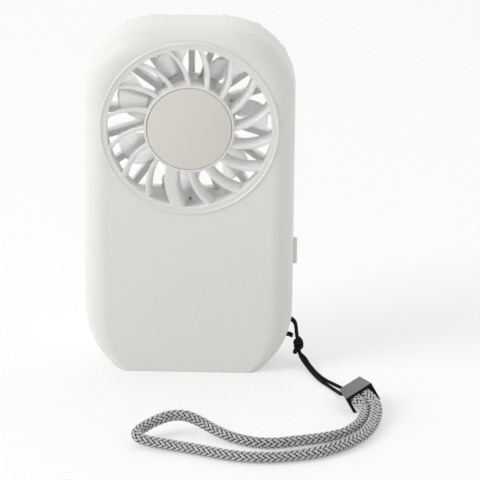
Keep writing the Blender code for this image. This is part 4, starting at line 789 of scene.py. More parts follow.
clamp = lofted("strap_clamp_shell", [wedge_rings(
    (0, CLAMP_REAR_WIDTH / 2, 0, CLAMP_REAR_HEIGHT),
    (CLAMP_LENGTH, CLAMP_FRONT_WIDTH / 2, 0, CLAMP_FRONT_HEIGHT))], clamp_mat, "housing")
hollow = lofted("hollow", [wedge_rings(
    (-OVERCUT, CLAMP_REAR_WIDTH / 2 - CLAMP_WALL, CLAMP_WALL, CLAMP_FRONT_HEIGHT),
    (CLAMP_LENGTH + OVERCUT, CLAMP_FRONT_WIDTH / 2 - CLAMP_CHEEK, CLAMP_BROW,
     CLAMP_FRONT_HEIGHT + OVERCUT))], clamp_mouth_shade_mat)
below_table = lofted("below_table", [[
    [Vector((clamp_origin.x + x * TABLE_REACH, clamp_origin.y + y * TABLE_REACH, z))
     for x, y in ((-1, -1), (1, -1), (1, 1), (-1, 1))]
    for z in (-TABLE_DEPTH, ABOVE_TABLE)]], clamp_mouth_shade_mat)
carve(clamp, [("DIFFERENCE", hollow), ("DIFFERENCE", below_table)])
print("clamp faces:", len(clamp.data.polygons))

# %% Clamp finish
clamp.data.materials.clear()
clamp.data.materials.append(clamp_mat)
clamp.data.materials.append(clamp_mouth_shade_mat)
for polygon in clamp.data.polygons:
    # the outer top and cheeks are satin; the inside and the mouth's edge are painted near-black as painted
    # shade
    from_top = (polygon.center - clamp_origin).dot(clamp_l)
    from_middle = abs((polygon.center - clamp_origin).dot(clamp_w))
    along = (polygon.center - clamp_origin).dot(clamp_u)
    outer_half = (CLAMP_REAR_WIDTH + (CLAMP_FRONT_WIDTH - CLAMP_REAR_WIDTH) * along / CLAMP_LENGTH) / 2
    satin = from_top < GAP / 2 or from_middle > outer_half - GAP / 2 or along < GAP / 2
    polygon.material_index = 0 if satin and along < CLAMP_LENGTH - GAP / 2 else 1
round_edges = clamp.modifiers.new("round_edges", "BEVEL")
round_edges.width = 0.00012
round_edges.segments = 3
round_edges.limit_method = "ANGLE"
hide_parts("strap_clamp")
for piece, route, length in cord_pieces:
    [tuple(p) for p in smooth_points(route, 0.0006)[0]]
print("black faces:", sum(polygon.material_index for polygon in clamp.data.polygons))

# %% [markdown]
# ## The casing
#
# The body is one outline drawn in step by step: a quarter-round at the front, upright sides, and the
# same at the back. Finer rings than the solid model's give a smooth highlight, and cutting the holes
# afterwards keeps their edges crisp.

# %% Body sizes
BODY_WIDTH, BODY_DEPTH, BODY_HEIGHT = 0.0700, 0.0252, 0.1205
UPPER_CORNER, LOWER_CORNER, LOWER_DROP = 0.0242, 0.0270, 0.0058
FILLET, PARTING_DEPTH = 0.0074, 0.0196
WALL, FRONT_WALL, COVER_WALL = 0.0018, 0.0028, 0.0031
FAN_HEIGHT = 0.0866
RING_RADIUS, RING_BORE, RING_WALL = 0.0302, 0.0274, 0.0012
FLANGE, LIP_RISE, RING_LENGTH = 0.0018, 0.00035, 0.0060
BUTTON_Z, BUTTON_LENGTH, BUTTON_WIDTH = 0.04005, 0.0093, 0.0050
SOCKET_LENGTH, SOCKET_HEIGHT = 0.0089, 0.0032
HALF_WIDTH = BODY_WIDTH / 2
FRONT_Y, REAR_Y = -BODY_DEPTH / 2, BODY_DEPTH / 2
PARTING_Y = FRONT_Y + PARTING_DEPTH
COVER_Y = PARTING_Y + GAP
DECK_TOP = FAN_HEIGHT - RING_BORE - GAP / 3
DECK_BOTTOM = DECK_TOP - 0.0020
CORNER_STEPS, LOWER_STEPS, FILLET_STEPS, INNER_STEPS = 28, 18, 16, 6
SEAM = -0.00005  # the grille's ring overlaps its recess by a hair, so no dark seam shows
EYELET_HALF_DEPTH = 0.0017
LEAD_HOLE_X, LEAD_HOLE_DEPTH, LEAD_HOLE_LENGTH, LEAD_HOLE_WIDTH = 0.0001, 0.0094, 0.0030, 0.0011
hole_radius = RING_BORE + RING_WALL + GAP
recess_floor = FRONT_Y + FLANGE - LIP_RISE + GAP
ring_rear = FRONT_Y - LIP_RISE + RING_LENGTH
socket_y = FRONT_Y + 0.0147 - GAP - SOCKET_HEIGHT / 2
print("body", BODY_WIDTH, BODY_DEPTH, BODY_HEIGHT, "parted at", round(PARTING_Y, 4))


# %% Outlines of the body
def arc(cx, cz, rx, rz, start, end, steps):
    return [(cx + rx * math.cos(start + (end - start) * i / steps),
             cz + rz * math.sin(start + (end - start) * i / steps)) for i in range(steps + 1)]


def body_outline(inset, lift=0.0):
    """The whole outline, drawn in by inset and cut off flat at the height lift."""
    low_z, low_rz, low_rx = LOWER_CORNER - LOWER_DROP, LOWER_CORNER - lift, LOWER_CORNER - inset
    start = math.asin(max(-1.0, (lift - low_z) / low_rz))
    corner, quarter = UPPER_CORNER - inset, math.pi / 2
    top_x, top_z, low_x = HALF_WIDTH - UPPER_CORNER, BODY_HEIGHT - UPPER_CORNER, HALF_WIDTH - LOWER_CORNER
    points = arc(low_x, low_z, low_rx, low_rz, start, 0, LOWER_STEPS)
    points += arc(top_x, top_z, corner, corner, 0, quarter, CORNER_STEPS)
    points += arc(-top_x, top_z, corner, corner, quarter, math.pi, CORNER_STEPS)
    points += arc(-low_x, low_z, low_rx, low_rz, math.pi, math.pi - start, LOWER_STEPS)
    return points


def upper_outline(inset, floor):
    """The outline above a floor, for the fan's room."""
    corner, side, quarter = UPPER_CORNER - inset, HALF_WIDTH - inset, math.pi / 2
    top_x, top_z = HALF_WIDTH - UPPER_CORNER, BODY_HEIGHT - UPPER_CORNER
    points = [(side, floor)]
    points += arc(top_x, top_z, corner, corner, 0, quarter, CORNER_STEPS)
    points += arc(-top_x, top_z, corner, corner, quarter, math.pi, CORNER_STEPS)
    points.append((-side, floor))
    return points


def fillet_inset(depth, radius=FILLET):
    """How far a quarter-round of that radius has drawn the outline in at a depth."""
    return 0.0 if depth >= radius else radius - math.sqrt(radius ** 2 - (radius - depth) ** 2)


def fillet_depths(radius, steps, limit):
    depths = [radius * (1 - math.cos(math.pi / 2 * i / steps)) for i in range(steps + 1)]
    return [depth for depth in depths if depth < limit - GAP / 2]


def ring_at(y, inset, lift=0.0):
    return [(x, y, z) for x, z in body_outline(inset, lift)]


def upper_ring(y, inset, floor):
    return [(x, y, z) for x, z in upper_outline(inset, floor)]


def slab(sections, low, high):
    """Rings of a flat block, from (y, half width) pairs."""
    return [[(-half, y, low), (half, y, low), (half, y, high), (-half, y, high)] for y, half in sections]


def side_hole(side, y, length, width):
    """A pill-shaped hole through the right (1) or left (-1) wall."""
    return [[(side * x, y + across_hole, BUTTON_Z + up_hole)
             for across_hole, up_hole in stadium(length + 2 * GAP, width + 2 * GAP)]
            for x in (HALF_WIDTH - WALL - 0.002, HALF_WIDTH + 0.002)]


parting_inset = fillet_inset(BODY_DEPTH - PARTING_DEPTH)
print("outline corners:", len(body_outline(0)), "and", len(upper_outline(0, 0)))

# %% Front shell
rear_start = BODY_DEPTH - FILLET
outer = [ring_at(FRONT_Y + d, fillet_inset(d)) for d in fillet_depths(FILLET, FILLET_STEPS, rear_start)]
for k in range(6):
    y = FRONT_Y + rear_start + (PARTING_DEPTH - rear_start) * k / 5
    outer.append(ring_at(y, fillet_inset(REAR_Y - y)))
inner_fillet = FILLET - WALL
inner = [ring_at(FRONT_Y + FRONT_WALL + d, WALL + fillet_inset(d, inner_fillet), WALL)
         for d in fillet_depths(inner_fillet, INNER_STEPS, PARTING_DEPTH)]
inner.append(ring_at(PARTING_Y, WALL + parting_inset, WALL))
shell = lofted("shell_front", [outer + list(reversed(inner))], shell_mat, "housing")
deck_depths = [FRONT_WALL / 2]
deck_depths += [d for d in fillet_depths(FILLET, INNER_STEPS, PARTING_DEPTH) if d > FRONT_WALL]
deck = lofted("deck", [slab(
    [(FRONT_Y + d, HALF_WIDTH - WALL / 2 - fillet_inset(d)) for d in deck_depths]
    + [(PARTING_Y, HALF_WIDTH - WALL / 2 - parting_inset)], DECK_BOTTOM, DECK_TOP)])
print("rings of the wall:", len(outer), "outside,", len(inner), "inside")

# %% Holes of the front shell
fan_hole = turned("fan_hole", [
    (0, FRONT_Y - 0.002), (RING_RADIUS + SEAM, FRONT_Y - 0.002), (RING_RADIUS + SEAM, recess_floor),
    (hole_radius, recess_floor), (hole_radius, ring_rear + GAP), (0, ring_rear + GAP)],
    centre=(0, FAN_HEIGHT), steps=160)
slots = []
for low, high in EYELET_SLOTS:
    slots.append([[(x, y, z) for x, z in (
        (EYELET_BAR_X - GAP, low), (HALF_WIDTH + 0.002, low), (HALF_WIDTH + 0.002, high),
        (EYELET_BAR_X - GAP, high))] for y in (EYELET_Y - EYELET_HALF_DEPTH, EYELET_Y + EYELET_HALF_DEPTH)])
lead_hole = [[(LEAD_HOLE_X + x, FRONT_Y + LEAD_HOLE_DEPTH + y, z)
              for x, y in stadium(LEAD_HOLE_LENGTH, LEAD_HOLE_WIDTH)]
             for z in (DECK_TOP + 0.001, DECK_BOTTOM - 0.001)]
holes = lofted("holes", slots + [
    side_hole(1, 0, BUTTON_LENGTH, BUTTON_WIDTH), side_hole(-1, socket_y, SOCKET_LENGTH, SOCKET_HEIGHT),
    lead_hole])
carve(shell, [("UNION", deck), ("DIFFERENCE", fan_hole), ("DIFFERENCE", holes)])
shell.data.materials.append(inner_painted_light_mat)
for polygon in shell.data.polygons:
    # painted light: the floor under the vanes and the walls of the fan's room take the much lighter inner
    # material, for the light that reaches them through the thin walls
    inside = polygon.center.y > recess_floor + GAP / 2 and abs(polygon.center.x) < HALF_WIDTH - WALL / 2 - GAP
    if inside and polygon.center.z > DECK_TOP - GAP / 2 and polygon.normal.dot(
            Vector((0, polygon.center.y, FAN_HEIGHT)) - polygon.center) > -GAP:
        polygon.material_index = len(shell.data.materials) - 1
keep_flat(shell)
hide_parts("front_shell")
print("front shell faces:", len(shell.data.polygons))

# %% [markdown]
# ## The rear cover
#
# Twenty spokes run out from a round plate, cross the window behind the blades and go on over the
# shoulder as low ribs. Cutting a fan of flat bars with a body of slightly tighter shoulder leaves
# ribs that stand 0.3 mm proud, as the little bumps on the photographed top edge show. Modelling each
# rib along the shoulder by itself would take a curve for every one of them.

# %% Rear cover's walls
SPOKES, SPOKE_WIDTH, SPOKE_DEPTH = 20, 0.0021, 0.0049
RIB_FILLET, RIB_RISE, HUB_PLATE_RADIUS, WINDOW_INSET = 0.0058, 0.0003, 0.0120, 0.0040
fan_centre = (0, FAN_HEIGHT)
cover_depth = REAR_Y - COVER_Y
outer = [ring_at(REAR_Y - d, fillet_inset(d)) for d in fillet_depths(FILLET, FILLET_STEPS, cover_depth)]
outer.append(ring_at(COVER_Y, fillet_inset(cover_depth)))
lip_inset = WALL + GAP + parting_inset
lip = [ring_at(COVER_Y, lip_inset, WALL + GAP), ring_at(COVER_Y - 0.0015, lip_inset, WALL + GAP),
       ring_at(COVER_Y - 0.0015, lip_inset + 0.0010, COVER_WALL)]
inner_fillet = FILLET - COVER_WALL
inner = [ring_at(REAR_Y - WALL - d, COVER_WALL + parting_inset + fillet_inset(d, inner_fillet), COVER_WALL)
         for d in fillet_depths(inner_fillet, INNER_STEPS, cover_depth - WALL)]
cover = lofted("shell_rear", [outer + lip + list(reversed(inner))], cover_painted_lighter_mat, "housing")
notch_half = HALF_WIDTH - WALL - parting_inset
notch = lofted("notch", [slab([(COVER_Y - 0.0035, notch_half), (COVER_Y, notch_half)],
                              DECK_BOTTOM - GAP, DECK_TOP + GAP)])
ledge_depths = [WALL / 2] + [d for d in fillet_depths(FILLET, INNER_STEPS, cover_depth) if d > WALL]
ledge = lofted("ledge", [slab(
    [(REAR_Y - d, HALF_WIDTH - WALL / 2 - fillet_inset(d)) for d in ledge_depths]
    + [(COVER_Y, HALF_WIDTH - WALL / 2 - fillet_inset(cover_depth))], DECK_BOTTOM, DECK_TOP)])
print("cover is", round(cover_depth * 1000, 1), "mm deep")

# %% Window and spokes
window = lofted("window", [[upper_ring(y, WINDOW_INSET, floor) for y, floor in (
    (REAR_Y - WALL - 0.001, DECK_TOP - 0.00005), (REAR_Y - 0.0012, DECK_TOP - 0.00005),
    (REAR_Y - 0.0006, DECK_TOP - 0.0003), (REAR_Y + 0.0004, DECK_TOP - 0.0012))]])
rib_end = REAR_Y + RIB_RISE
spoke_front = rib_end - SPOKE_DEPTH
half, start = SPOKE_WIDTH / 2, HUB_PLATE_RADIUS - 0.0008
bars = []
for k in range(SPOKES):
    turn = Matrix.Rotation(-math.radians(90 + 360 * k / SPOKES), 4, "Y")
    bars.append([[turn @ Vector((r, y, w)) + Vector((0, 0, FAN_HEIGHT))
                  for r, w in ((start, -half), (BODY_HEIGHT / 2, -half),
                               (BODY_HEIGHT / 2, half), (start, half))]
                 for y in (spoke_front, REAR_Y + 0.002)])
spokes = lofted("spokes", bars)
rib_floor = DECK_TOP - 0.0010
rib_rings = [upper_ring(rib_end - d, fillet_inset(d, RIB_FILLET), rib_floor)
             for d in fillet_depths(RIB_FILLET, 12, SPOKE_DEPTH)]
rib_rings.append(upper_ring(spoke_front, fillet_inset(SPOKE_DEPTH, RIB_FILLET), rib_floor))
ribs = lofted("ribs", [rib_rings])
carve(spokes, [("INTERSECT", ribs)])
plate_bore = HUB_PLATE_RADIUS - 0.0016
plate = turned("plate", [
    (0, rib_end - 0.0014), (plate_bore, rib_end - 0.0014), (plate_bore, spoke_front - 0.0002),
    (HUB_PLATE_RADIUS, spoke_front - 0.0002), (HUB_PLATE_RADIUS, rib_end + 0.0002),
    (0, rib_end + 0.0002)], centre=fan_centre, steps=96)
print("spoke faces:", len(spokes.data.polygons))

# %% Screw bosses, then one cover
case_screws = [(0.0280, 0.0530), (-0.0280, 0.0530), (0.0220, 0.0100), (-0.0220, 0.0100)]


def at_screws(name, radius, front, rear):
    """A round post at each case screw."""
    return lofted(name, [[disc(x, z, radius, y) for y in (front, rear)] for x, z in case_screws])


bosses = at_screws("bosses", 0.0028, FRONT_Y + 0.0210, REAR_Y - WALL / 2)
bores = at_screws("bores", 0.0013, FRONT_Y + 0.0190, REAR_Y)
sinks = at_screws("sinks", 0.0022, REAR_Y - 0.0022, REAR_Y + 0.002)
carve(cover, [("DIFFERENCE", notch), ("UNION", ledge), ("UNION", bosses), ("DIFFERENCE", window),
              ("UNION", spokes), ("UNION", plate), ("DIFFERENCE", bores), ("DIFFERENCE", sinks)])
cover.data.materials.append(inner_painted_light_mat)
# painted light: the cover's forward faces and the inside of the fan's room take the much lighter inner
# material, for the light that reaches them
for polygon in cover.data.polygons:
    x, y, z = polygon.center
    corner = math.hypot(max(abs(x) - (HALF_WIDTH - UPPER_CORNER), 0),
                        max(z - (BODY_HEIGHT - UPPER_CORNER), 0))
    within = UPPER_CORNER - corner > COVER_WALL - GAP
    if polygon.normal.y < -0.3 or (polygon.normal.y < 0.2 and within and z > DECK_BOTTOM):
        polygon.material_index = len(cover.data.materials) - 1
keep_flat(cover)
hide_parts("rear_cover")
print("rear cover faces:", len(cover.data.polygons))

# %% [markdown]
# ## The front grille
#
# One moulding: a ring with a raised lip, sixteen vanes that sweep round as they run outwards and lean
# with their depth, and a cup in the middle that carries the motor. One vane is wide, because the
# motor's lead runs in a channel behind it. The vanes are lofted from round-edged sections, because a
# bent plate would keep its width and its straight ends.

# %% Vanes
HUB_RADIUS, HUB_WALL, HUB_SEAT_WALL, HUB_LENGTH = 0.0151, 0.0012, 0.0008, 0.0061
CAP_THICKNESS, HUB_PLATE = 0.0012, 0.0012
VANES, VANE_WIDTH, VANE_LENGTH, VANE_SETBACK = 16, 0.00135, 0.0054, 0.00018
WIDE_VANE, WIDE_WIDTH, CHANNEL = 11, 0.0042, 0.0018
SWEEP, CURL, TWIST = 8.5, 6.0, 3.4
vane_front = FRONT_Y + VANE_SETBACK
vane_rear = vane_front + VANE_LENGTH
ring_outer = RING_BORE + RING_WALL
lip_y = FRONT_Y - LIP_RISE


def vane_bearing(number, radius, y):
    t = (radius - HUB_RADIUS) / (RING_BORE - HUB_RADIUS)
    return math.radians(22.5 * number + SWEEP * t + CURL * t * t + TWIST * (y - vane_front) / VANE_LENGTH)


def vane_rings(number, width, start, end, front, rear, stations=14, edge=0.00035):
    """Sections with round front edges, from the hub to the ring."""
    rings = []
    for i in range(stations + 1):
        radius = start + (end - start) * i / stations
        half = width / 2
        e = min(edge, half * 0.9)
        section = [(rear, -half), (front + e, -half)]
        section += [(front + e - e * math.sin(a), -half + e - e * math.cos(a))
                    for a in (math.pi / 8, math.pi / 4, 3 * math.pi / 8, math.pi / 2)]
        section += [(front + e - e * math.sin(a), half - e + e * math.cos(a))
                    for a in (math.pi / 2, 3 * math.pi / 8, math.pi / 4, math.pi / 8)]
        section += [(front + e, half), (rear, half)]
        ring = []
        for y, side in section:
            bearing = vane_bearing(number, radius, y)
            ring.append((radius * math.cos(bearing) - side * math.sin(bearing), y,
                         FAN_HEIGHT + radius * math.sin(bearing) + side * math.cos(bearing)))
        rings.append(ring)
    return rings


print("a vane's section has", len(vane_rings(0, VANE_WIDTH, 0.01, 0.02, 0, 0.005)[0]), "corners")

# %% Ring and cup
BEAD_OUTER, BEAD_INNER, BEAD_RISE = 0.0007, 0.0006, 0.00035


def ring_profile():
    """The band is flat, then rises to a soft bead that falls to the casing's face."""
    return [
        (RING_BORE, FRONT_Y + 0.00025), (RING_BORE + 0.00008, FRONT_Y + 0.00008),
        (RING_BORE + 0.00025, FRONT_Y),
        *((RING_RADIUS - BEAD_OUTER - BEAD_INNER * (1 - k / 8),
           FRONT_Y - BEAD_RISE / 2 * (1 - math.cos(math.pi * k / 8))) for k in range(9)),
        *((RING_RADIUS - BEAD_OUTER * (1 - k / 6), FRONT_Y - BEAD_RISE / 2 * (1 + math.cos(math.pi * k / 6)))
          for k in range(1, 7)),
        (RING_RADIUS, lip_y + FLANGE), (ring_outer, lip_y + FLANGE),
        (ring_outer, ring_rear), (RING_BORE, ring_rear),
    ]


grille = turned("swept_grille", ring_profile(), grille_mat, "housing", centre=fan_centre, steps=192)
cap_bore = HUB_RADIUS - HUB_SEAT_WALL
plate_front = FRONT_Y + CAP_THICKNESS + GAP
plate_rear = plate_front + HUB_PLATE
tube_radius = 0.0010 + GAP + 0.0011 + GAP + 0.0008
hub_front = FRONT_Y - VANE_SETBACK / 2
hub = turned("hub", [
    (cap_bore, hub_front + 0.0001), (cap_bore + 0.0001, hub_front), (HUB_RADIUS - 0.00025, hub_front),
    (HUB_RADIUS - 0.00008, hub_front + 0.00008), (HUB_RADIUS, hub_front + 0.00025),
    (HUB_RADIUS, FRONT_Y + HUB_LENGTH), (HUB_RADIUS - HUB_WALL, FRONT_Y + HUB_LENGTH),
    (HUB_RADIUS - HUB_WALL, plate_rear), (tube_radius + GAP, plate_rear), (tube_radius + GAP, plate_front),
    (cap_bore, plate_front)], centre=fan_centre, steps=128)
print("ring faces:", len(grille.data.polygons), "cup faces:", len(hub.data.polygons))

# %% One grille
vanes = lofted("vanes", [
    vane_rings(n, WIDE_WIDTH if n == WIDE_VANE else VANE_WIDTH, HUB_RADIUS - HUB_SEAT_WALL / 2,
               RING_BORE + RING_WALL / 2, vane_front, vane_rear) for n in range(VANES)])
channel = lofted("channel", [vane_rings(WIDE_VANE, CHANNEL, HUB_RADIUS - HUB_WALL - GAP, ring_outer + 0.002,
                                        vane_rear - CHANNEL, vane_rear + 0.002, edge=0.0001)])
carve(grille, [("UNION", hub), ("UNION", vanes), ("DIFFERENCE", channel)])
grille.data.materials.append(vane_wall_painted_light_mat)
for polygon in grille.data.polygons:
    # painted light: the walls between the vanes are thin and scatter light below their surface, and they are
    # painted much lighter for the light on them; their front edges are not
    if abs(polygon.normal.y) < 0.5:
        polygon.material_index = len(grille.data.materials) - 1
keep_flat(grille)
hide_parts("front_grille")
print("grille faces:", len(grille.data.polygons))

# %% [markdown]
# ## The centre disc
#
# A separate, warmer and duller disc closes the motor's cup. It is set back by a hair and is a little
# smaller than its seat, which draws the thin dark ring round it. A drawn line would not follow the
# light.

# %% Centre disc
cap_edge = cap_bore - 0.00018
cap = turned("centre_disc", [
    (0, FRONT_Y), (cap_edge - 0.0003, FRONT_Y), (cap_edge - 0.0001, FRONT_Y + 0.00006),
    (cap_edge, FRONT_Y + 0.00022), (cap_edge, FRONT_Y + CAP_THICKNESS), (0, FRONT_Y + CAP_THICKNESS)],
    cap_mat, "housing", centre=fan_centre, steps=128)
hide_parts("hub_cap")
print("disc radius", round(cap_edge * 1000, 2), "mm")

# %% [markdown]
# ## The impeller
#
# Seven broad blades on a cup that hides the motor. Each blade is a thin sheet lofted outwards, pitched
# from front to back and slightly bowed, in clear white plastic that lets some light through. It turns
# with the rotor, so it rides on that body and not on the housing.

# %% Impeller's cup
IMPELLER_RADIUS, IMPELLER_LENGTH, IMPELLER_WALL = 0.0258, 0.0101, 0.0013
BLADES, BLADE_FIRST, BLADE_ANGLE, BLADE_SKEW = 7, 162.0, 28.0, 16.0
BLADE_THICKNESS, BLADE_CAMBER = 0.0012, 0.0009
BLADE_INSET, BLADE_FLATTEN = 0.0028, 0.20
impeller_front = FRONT_Y + 0.0067
impeller_rear = impeller_front + IMPELLER_LENGTH
impeller_hub = HUB_RADIUS - GAP / 2
impeller_bore = impeller_hub - IMPELLER_WALL
impeller_floor = impeller_rear - IMPELLER_WALL
impeller = turned("blade_wheel", [
    (impeller_bore, impeller_front), (impeller_hub - 0.0002, impeller_front),
    (impeller_hub, impeller_front + 0.0002), (impeller_hub, impeller_floor),
    (impeller_hub - 0.0003, impeller_floor + 0.0008), (impeller_hub - IMPELLER_WALL, impeller_rear),
    (0.0013, impeller_rear), (0.0013, impeller_floor - 0.0016), (0.0029, impeller_floor - 0.0016),
    (0.0029, impeller_floor), (impeller_bore, impeller_floor)],
    blade_mat, "rotor", centre=fan_centre, steps=96)
print("cup faces:", len(impeller.data.polygons))


# %% Blades
def blade_rings(number, stations=12, count=16):
    """Sections of a blade from its root, drawn in to a round tip."""
    rings = []
    start = impeller_hub - IMPELLER_WALL / 2
    middle = BLADE_FIRST + 360 * number / BLADES
    first = impeller_front + BLADE_INSET + BLADE_THICKNESS / 2
    last = impeller_rear - BLADE_THICKNESS / 2
    for i in range(stations + 1):
        share = i / stations
        radius = start + (IMPELLER_RADIUS - start) * share
        centre = middle - BLADE_SKEW * (share - 1 / 2)
        flat = last - (last - first) * share * BLADE_FLATTEN
        pull = math.sqrt(1 - 0.75 * max(0.0, (share - 0.6) / 0.4) ** 3)
        upper, lower = [], []
        for j in range(count + 1):
            s = j / count
            angle = math.radians(centre + BLADE_ANGLE * pull * (1 / 2 - s))
            bow = 4 * s * (1 - s)
            y = first + (flat - first) * (1 / 2 + (s - 1 / 2) * pull) + BLADE_CAMBER * bow
            half = BLADE_THICKNESS / 2 * (0.35 + 0.65 * bow)
            for side, side_y in ((upper, y - half), (lower, y + half)):
                side.append((radius * math.cos(angle), side_y, FAN_HEIGHT + radius * math.sin(angle)))
        rings.append(upper + list(reversed(lower)))
    return rings


blades = lofted("blades", [blade_rings(n) for n in range(BLADES)])
carve(impeller, [("UNION", blades)])
impeller.data.materials.append(hub_mat)
for polygon in impeller.data.polygons:
    from_axis = math.hypot(polygon.center.x, polygon.center.z - FAN_HEIGHT)
    if from_axis < impeller_hub + GAP / 3:
        polygon.material_index = len(impeller.data.materials) - 1
keep_flat(impeller)
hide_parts("impeller")
print("impeller faces:", len(impeller.data.polygons))

# %% [markdown]
# ## The button, the socket and the screws
#
# Small pieces get their own rounding, because their edges catch the light. The button is a pill with a
# softly crowned top and a flange that keeps it in the shell, the socket a thin steel sleeve, and each
# screw a crowned head with a cross recess.

# %% Button
CROWN, CROWN_STEPS, FLANGE_GROWS, STEM_RADIUS, STEM_STEPS = 0.0007, 6, 0.0010, 0.0015, 24
button_rings = []
for x, grow in [(-0.0033, FLANGE_GROWS), (-0.0021, FLANGE_GROWS), (-0.0021, 0.0), (0.0007, 0.0)] + [
        (0.0007 + CROWN * math.sin(a), -CROWN * (1 - math.cos(a)))
        for a in (math.pi / 2 * k / CROWN_STEPS for k in range(1, CROWN_STEPS + 1))]:
    button_rings.append([(HALF_WIDTH + x, y, BUTTON_Z + z)
                         for y, z in stadium(BUTTON_LENGTH + 2 * grow, BUTTON_WIDTH + 2 * grow)])
button = lofted("push_button", [button_rings], button_mat, "button")
keep_flat(button)
turns = [math.tau * i / STEM_STEPS for i in range(STEM_STEPS)]
stem = lofted("stem", [[[(HALF_WIDTH + x, STEM_RADIUS * math.cos(a), BUTTON_Z + STEM_RADIUS * math.sin(a))
                         for a in turns] for x in (-0.0041, -0.0030)]])
carve(button, [("UNION", stem)])
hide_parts("power_button")
print("button faces:", len(button.data.polygons))

# %% Socket
mouth = -HALF_WIDTH + 0.0008
sleeve = []
for x, shrink in ((mouth + 0.0070, 0.0003), (mouth + 0.0001, 0.0003), (mouth, 0.0002), (mouth, 0.00008),
                  (mouth + 0.0001, 0), (mouth + 0.0073, 0)):
    sleeve.append([(x, socket_y + y, BUTTON_Z + z)
                   for y, z in stadium(SOCKET_LENGTH - 2 * shrink, SOCKET_HEIGHT - 2 * shrink, 48)])
socket = lofted("charge_socket", [sleeve], steel_mat, "housing")
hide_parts("usb_socket")
print("socket faces:", len(socket.data.polygons))

# %% Screws
SCREW_LENGTH, CROSS_LONG, CROSS_WIDE = 0.0080, 0.0011, 0.00022
seat = REAR_Y - 0.0022 + GAP
point = seat - SCREW_LENGTH
for number, (x, z) in enumerate(case_screws, 1):
    screw = turned(f"cross_screw_{number}", [
        (0, point), (0.0007, point), (0.0010, point + 0.0005), (0.0010, seat),
        (0.0019, seat), (0.0019, seat + 0.0006), (0.0017, seat + 0.0009), (0.0011, seat + 0.0011),
        (0, seat + 0.0011)], steel_mat, "housing", centre=(x, z), steps=48)
    arms = []
    for wide, tall in ((CROSS_LONG, CROSS_WIDE), (CROSS_WIDE, CROSS_LONG)):
        corners = (-wide, -tall), (wide, -tall), (wide, tall), (-wide, tall)
        arms.append(lofted("arm", [[[(x + a * k, y, z + b * k) for a, b in corners]
                                    for y, k in ((seat + 0.0004, 0.6), (seat + 0.0013, 1.0))]]))
    carve(screw, [("DIFFERENCE", arm) for arm in arms])
    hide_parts(f"case_screw_{number}")
print("screws:", len(case_screws))

# %% [markdown]
# ## The pieces inside
#
# The solids that stay hidden keep their own meshes and get the material that the real piece has, so an
# opened fan would look right too.

# %% Inner pieces
dress = {
    steel_mat: ("rotor_yoke", "motor_shaft", "stator_core", "board_screw_1", "board_screw_2"),
    magnet_mat: ("ring_magnet", "power_inductor"),
    brass_mat: ("bearing_tube", "bearing_bush"),
    copper_mat: ("stator_coils",),
    board_mat: ("motor_board", "main_board"),
    lead_mat: ("motor_lead", "battery_lead_black"),
    red_mat: ("battery_lead_red",),
    black_mat: ("tact_switch", "switch_plunger", "control_chip", "usb_tongue"),
    foil_mat: ("battery_cell",),
    foam_mat: ("battery_pad",),
}
for material, names in dress.items():
    for name in names:
        nodes[name].data.materials.clear()
        nodes[name].data.materials.append(material)
print("dressed:", sum(len(names) for names in dress.values()))

# %% [markdown]
# ## The floor
#
# The photograph has no floor to see, only white paper with a soft shadow. More light would turn the
# paper white, and the fan too. So the floor is plain pale paper for every ray but the camera's, which
# sees it mixed with a little less than half of pure white. The rest of the mix keeps the shadow.

# %% Floor
FLOOR_REACH, WHITE_SHARE = 3.0, 0.45
bm = bmesh.new()
bm.faces.new([bm.verts.new((x * FLOOR_REACH, y * FLOOR_REACH, 0))
              for x, y in ((-1, -1), (1, -1), (1, 1), (-1, 1))])
floor_mat = grained("pale_floor", (0.93, 0.93, 0.93), (0.92, 0.92, 0.92), (0.7, 0.8), grain=400.0, drift=3.0,
                    specular=0.1)
tree = floor_mat.node_tree
link = tree.links.new
path = add(tree, "ShaderNodeLightPath")
share = add(tree, "ShaderNodeMath", operation="MULTIPLY")
share.inputs[1].default_value = WHITE_SHARE
white = add(tree, "ShaderNodeEmission")
mixed = add(tree, "ShaderNodeMixShader")
link(path.outputs["Is Camera Ray"], share.inputs[0])
link(share.outputs["Value"], mixed.inputs["Fac"])
link(tree.nodes["Principled BSDF"].outputs["BSDF"], mixed.inputs[1])
link(white.outputs["Emission"], mixed.inputs[2])
link(mixed.outputs["Shader"], tree.nodes["Material Output"].inputs["Surface"])
floor = place("floor", bm, floor_mat, None)
floor.location.z = -0.00002
floor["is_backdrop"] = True
print("floor:", 2 * FLOOR_REACH, "m wide")

# %% [markdown]
# ## The lights
#
# The left shoulder is nearly white in the photograph and the right one grey with a light edge: one
# large soft light stands high on the left, and three weak ones fill the front, the right and the top.
# Large lights give the soft, wide highlights of matt plastic.


# %% Lights
def soft_light(name, where, target, size, power):
    data = bpy.data.lights.new(name, "AREA")
    data.shape = "RECTANGLE"
    data.size, data.size_y = size
    data.energy = power
    made = bpy.data.objects.new(name, data)
    bpy.context.collection.objects.link(made)
    made.location = where
    made.rotation_euler = (Vector(target) - Vector(where)).to_track_quat("-Z", "Y").to_euler()
    return made


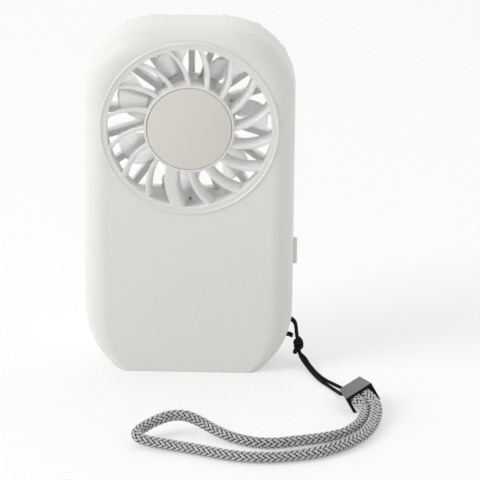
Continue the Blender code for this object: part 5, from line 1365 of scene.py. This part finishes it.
soft_light("key", (-1.8, -0.9, 1.5), (0, 0, 0.06), (1.2, 1.2), 28.5)
soft_light("front", (-0.5, -2.4, 1.0), (0, 0, 0.06), (1.6, 1.2), 2.5)
soft_light("fill", (2.0, -0.7, 0.7), (0, 0, 0.06), (0.8, 1.4), 2.0)
soft_light("top", (0.0, 0.3, 2.6), (0, 0, 0), (2.0, 2.0), 3.0)
print("lights:", [light.name for light in bpy.data.lights])

# %% [markdown]
# ## The world
#
# A white studio lights the fan from all round too, and more from behind, where the paper is, than from
# the dark side of the camera: the edges of the casing and the spokes are light against the face. So
# the world is dimmer in front and brighter at the back, with a soft step between. The camera, and
# glossy and clear surfaces, still see it plain white.

# %% World
WORLD_FRONT, WORLD_BACK = 0.48, 1.0
world = bpy.data.worlds.new("studio")
bpy.context.scene.world = world
world.use_nodes = True
tree = world.node_tree
link = tree.links.new
back = tree.nodes["Background"]
path = add(tree, "ShaderNodeLightPath")
seen = add(tree, "ShaderNodeMath", operation="MAXIMUM")
link(path.outputs["Is Camera Ray"], seen.inputs[0])
link(path.outputs["Is Transmission Ray"], seen.inputs[1])
seen_at_all = add(tree, "ShaderNodeMath", operation="MAXIMUM")
link(seen.outputs["Value"], seen_at_all.inputs[0])
link(path.outputs["Is Glossy Ray"], seen_at_all.inputs[1])
direction = add(tree, "ShaderNodeTexCoord")
parts = add(tree, "ShaderNodeSeparateXYZ")
link(direction.outputs["Generated"], parts.inputs["Vector"])
glow = add(tree, "ShaderNodeMapRange", interpolation_type="SMOOTHSTEP",
           **{"From Min": -0.25, "From Max": 0.35, "To Min": WORLD_FRONT, "To Max": WORLD_BACK})
link(parts.outputs["Y"], glow.inputs["Value"])
tint = add(tree, "ShaderNodeMix", data_type="RGBA")
link(glow.outputs["Result"], tint.inputs[6])
tint.inputs[7].default_value = (1, 1, 1, 1)
link(seen_at_all.outputs["Value"], tint.inputs[0])
link(tint.outputs[2], back.inputs["Color"])
back.inputs["Strength"].default_value = 1.0
bpy.context.scene.view_settings.view_transform = "Standard"
print("world from", WORLD_FRONT, "in front to", WORLD_BACK, "behind")

# %% [markdown]
# ## Sizes
#
# The dressed model is drawn to keep to the solid model's box, within a few tenths of a millimetre. Its own
# box is printed at the end.

# %% Finish
low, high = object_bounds()
print("visual", [round(v, 4) for v in (*low, *high)])
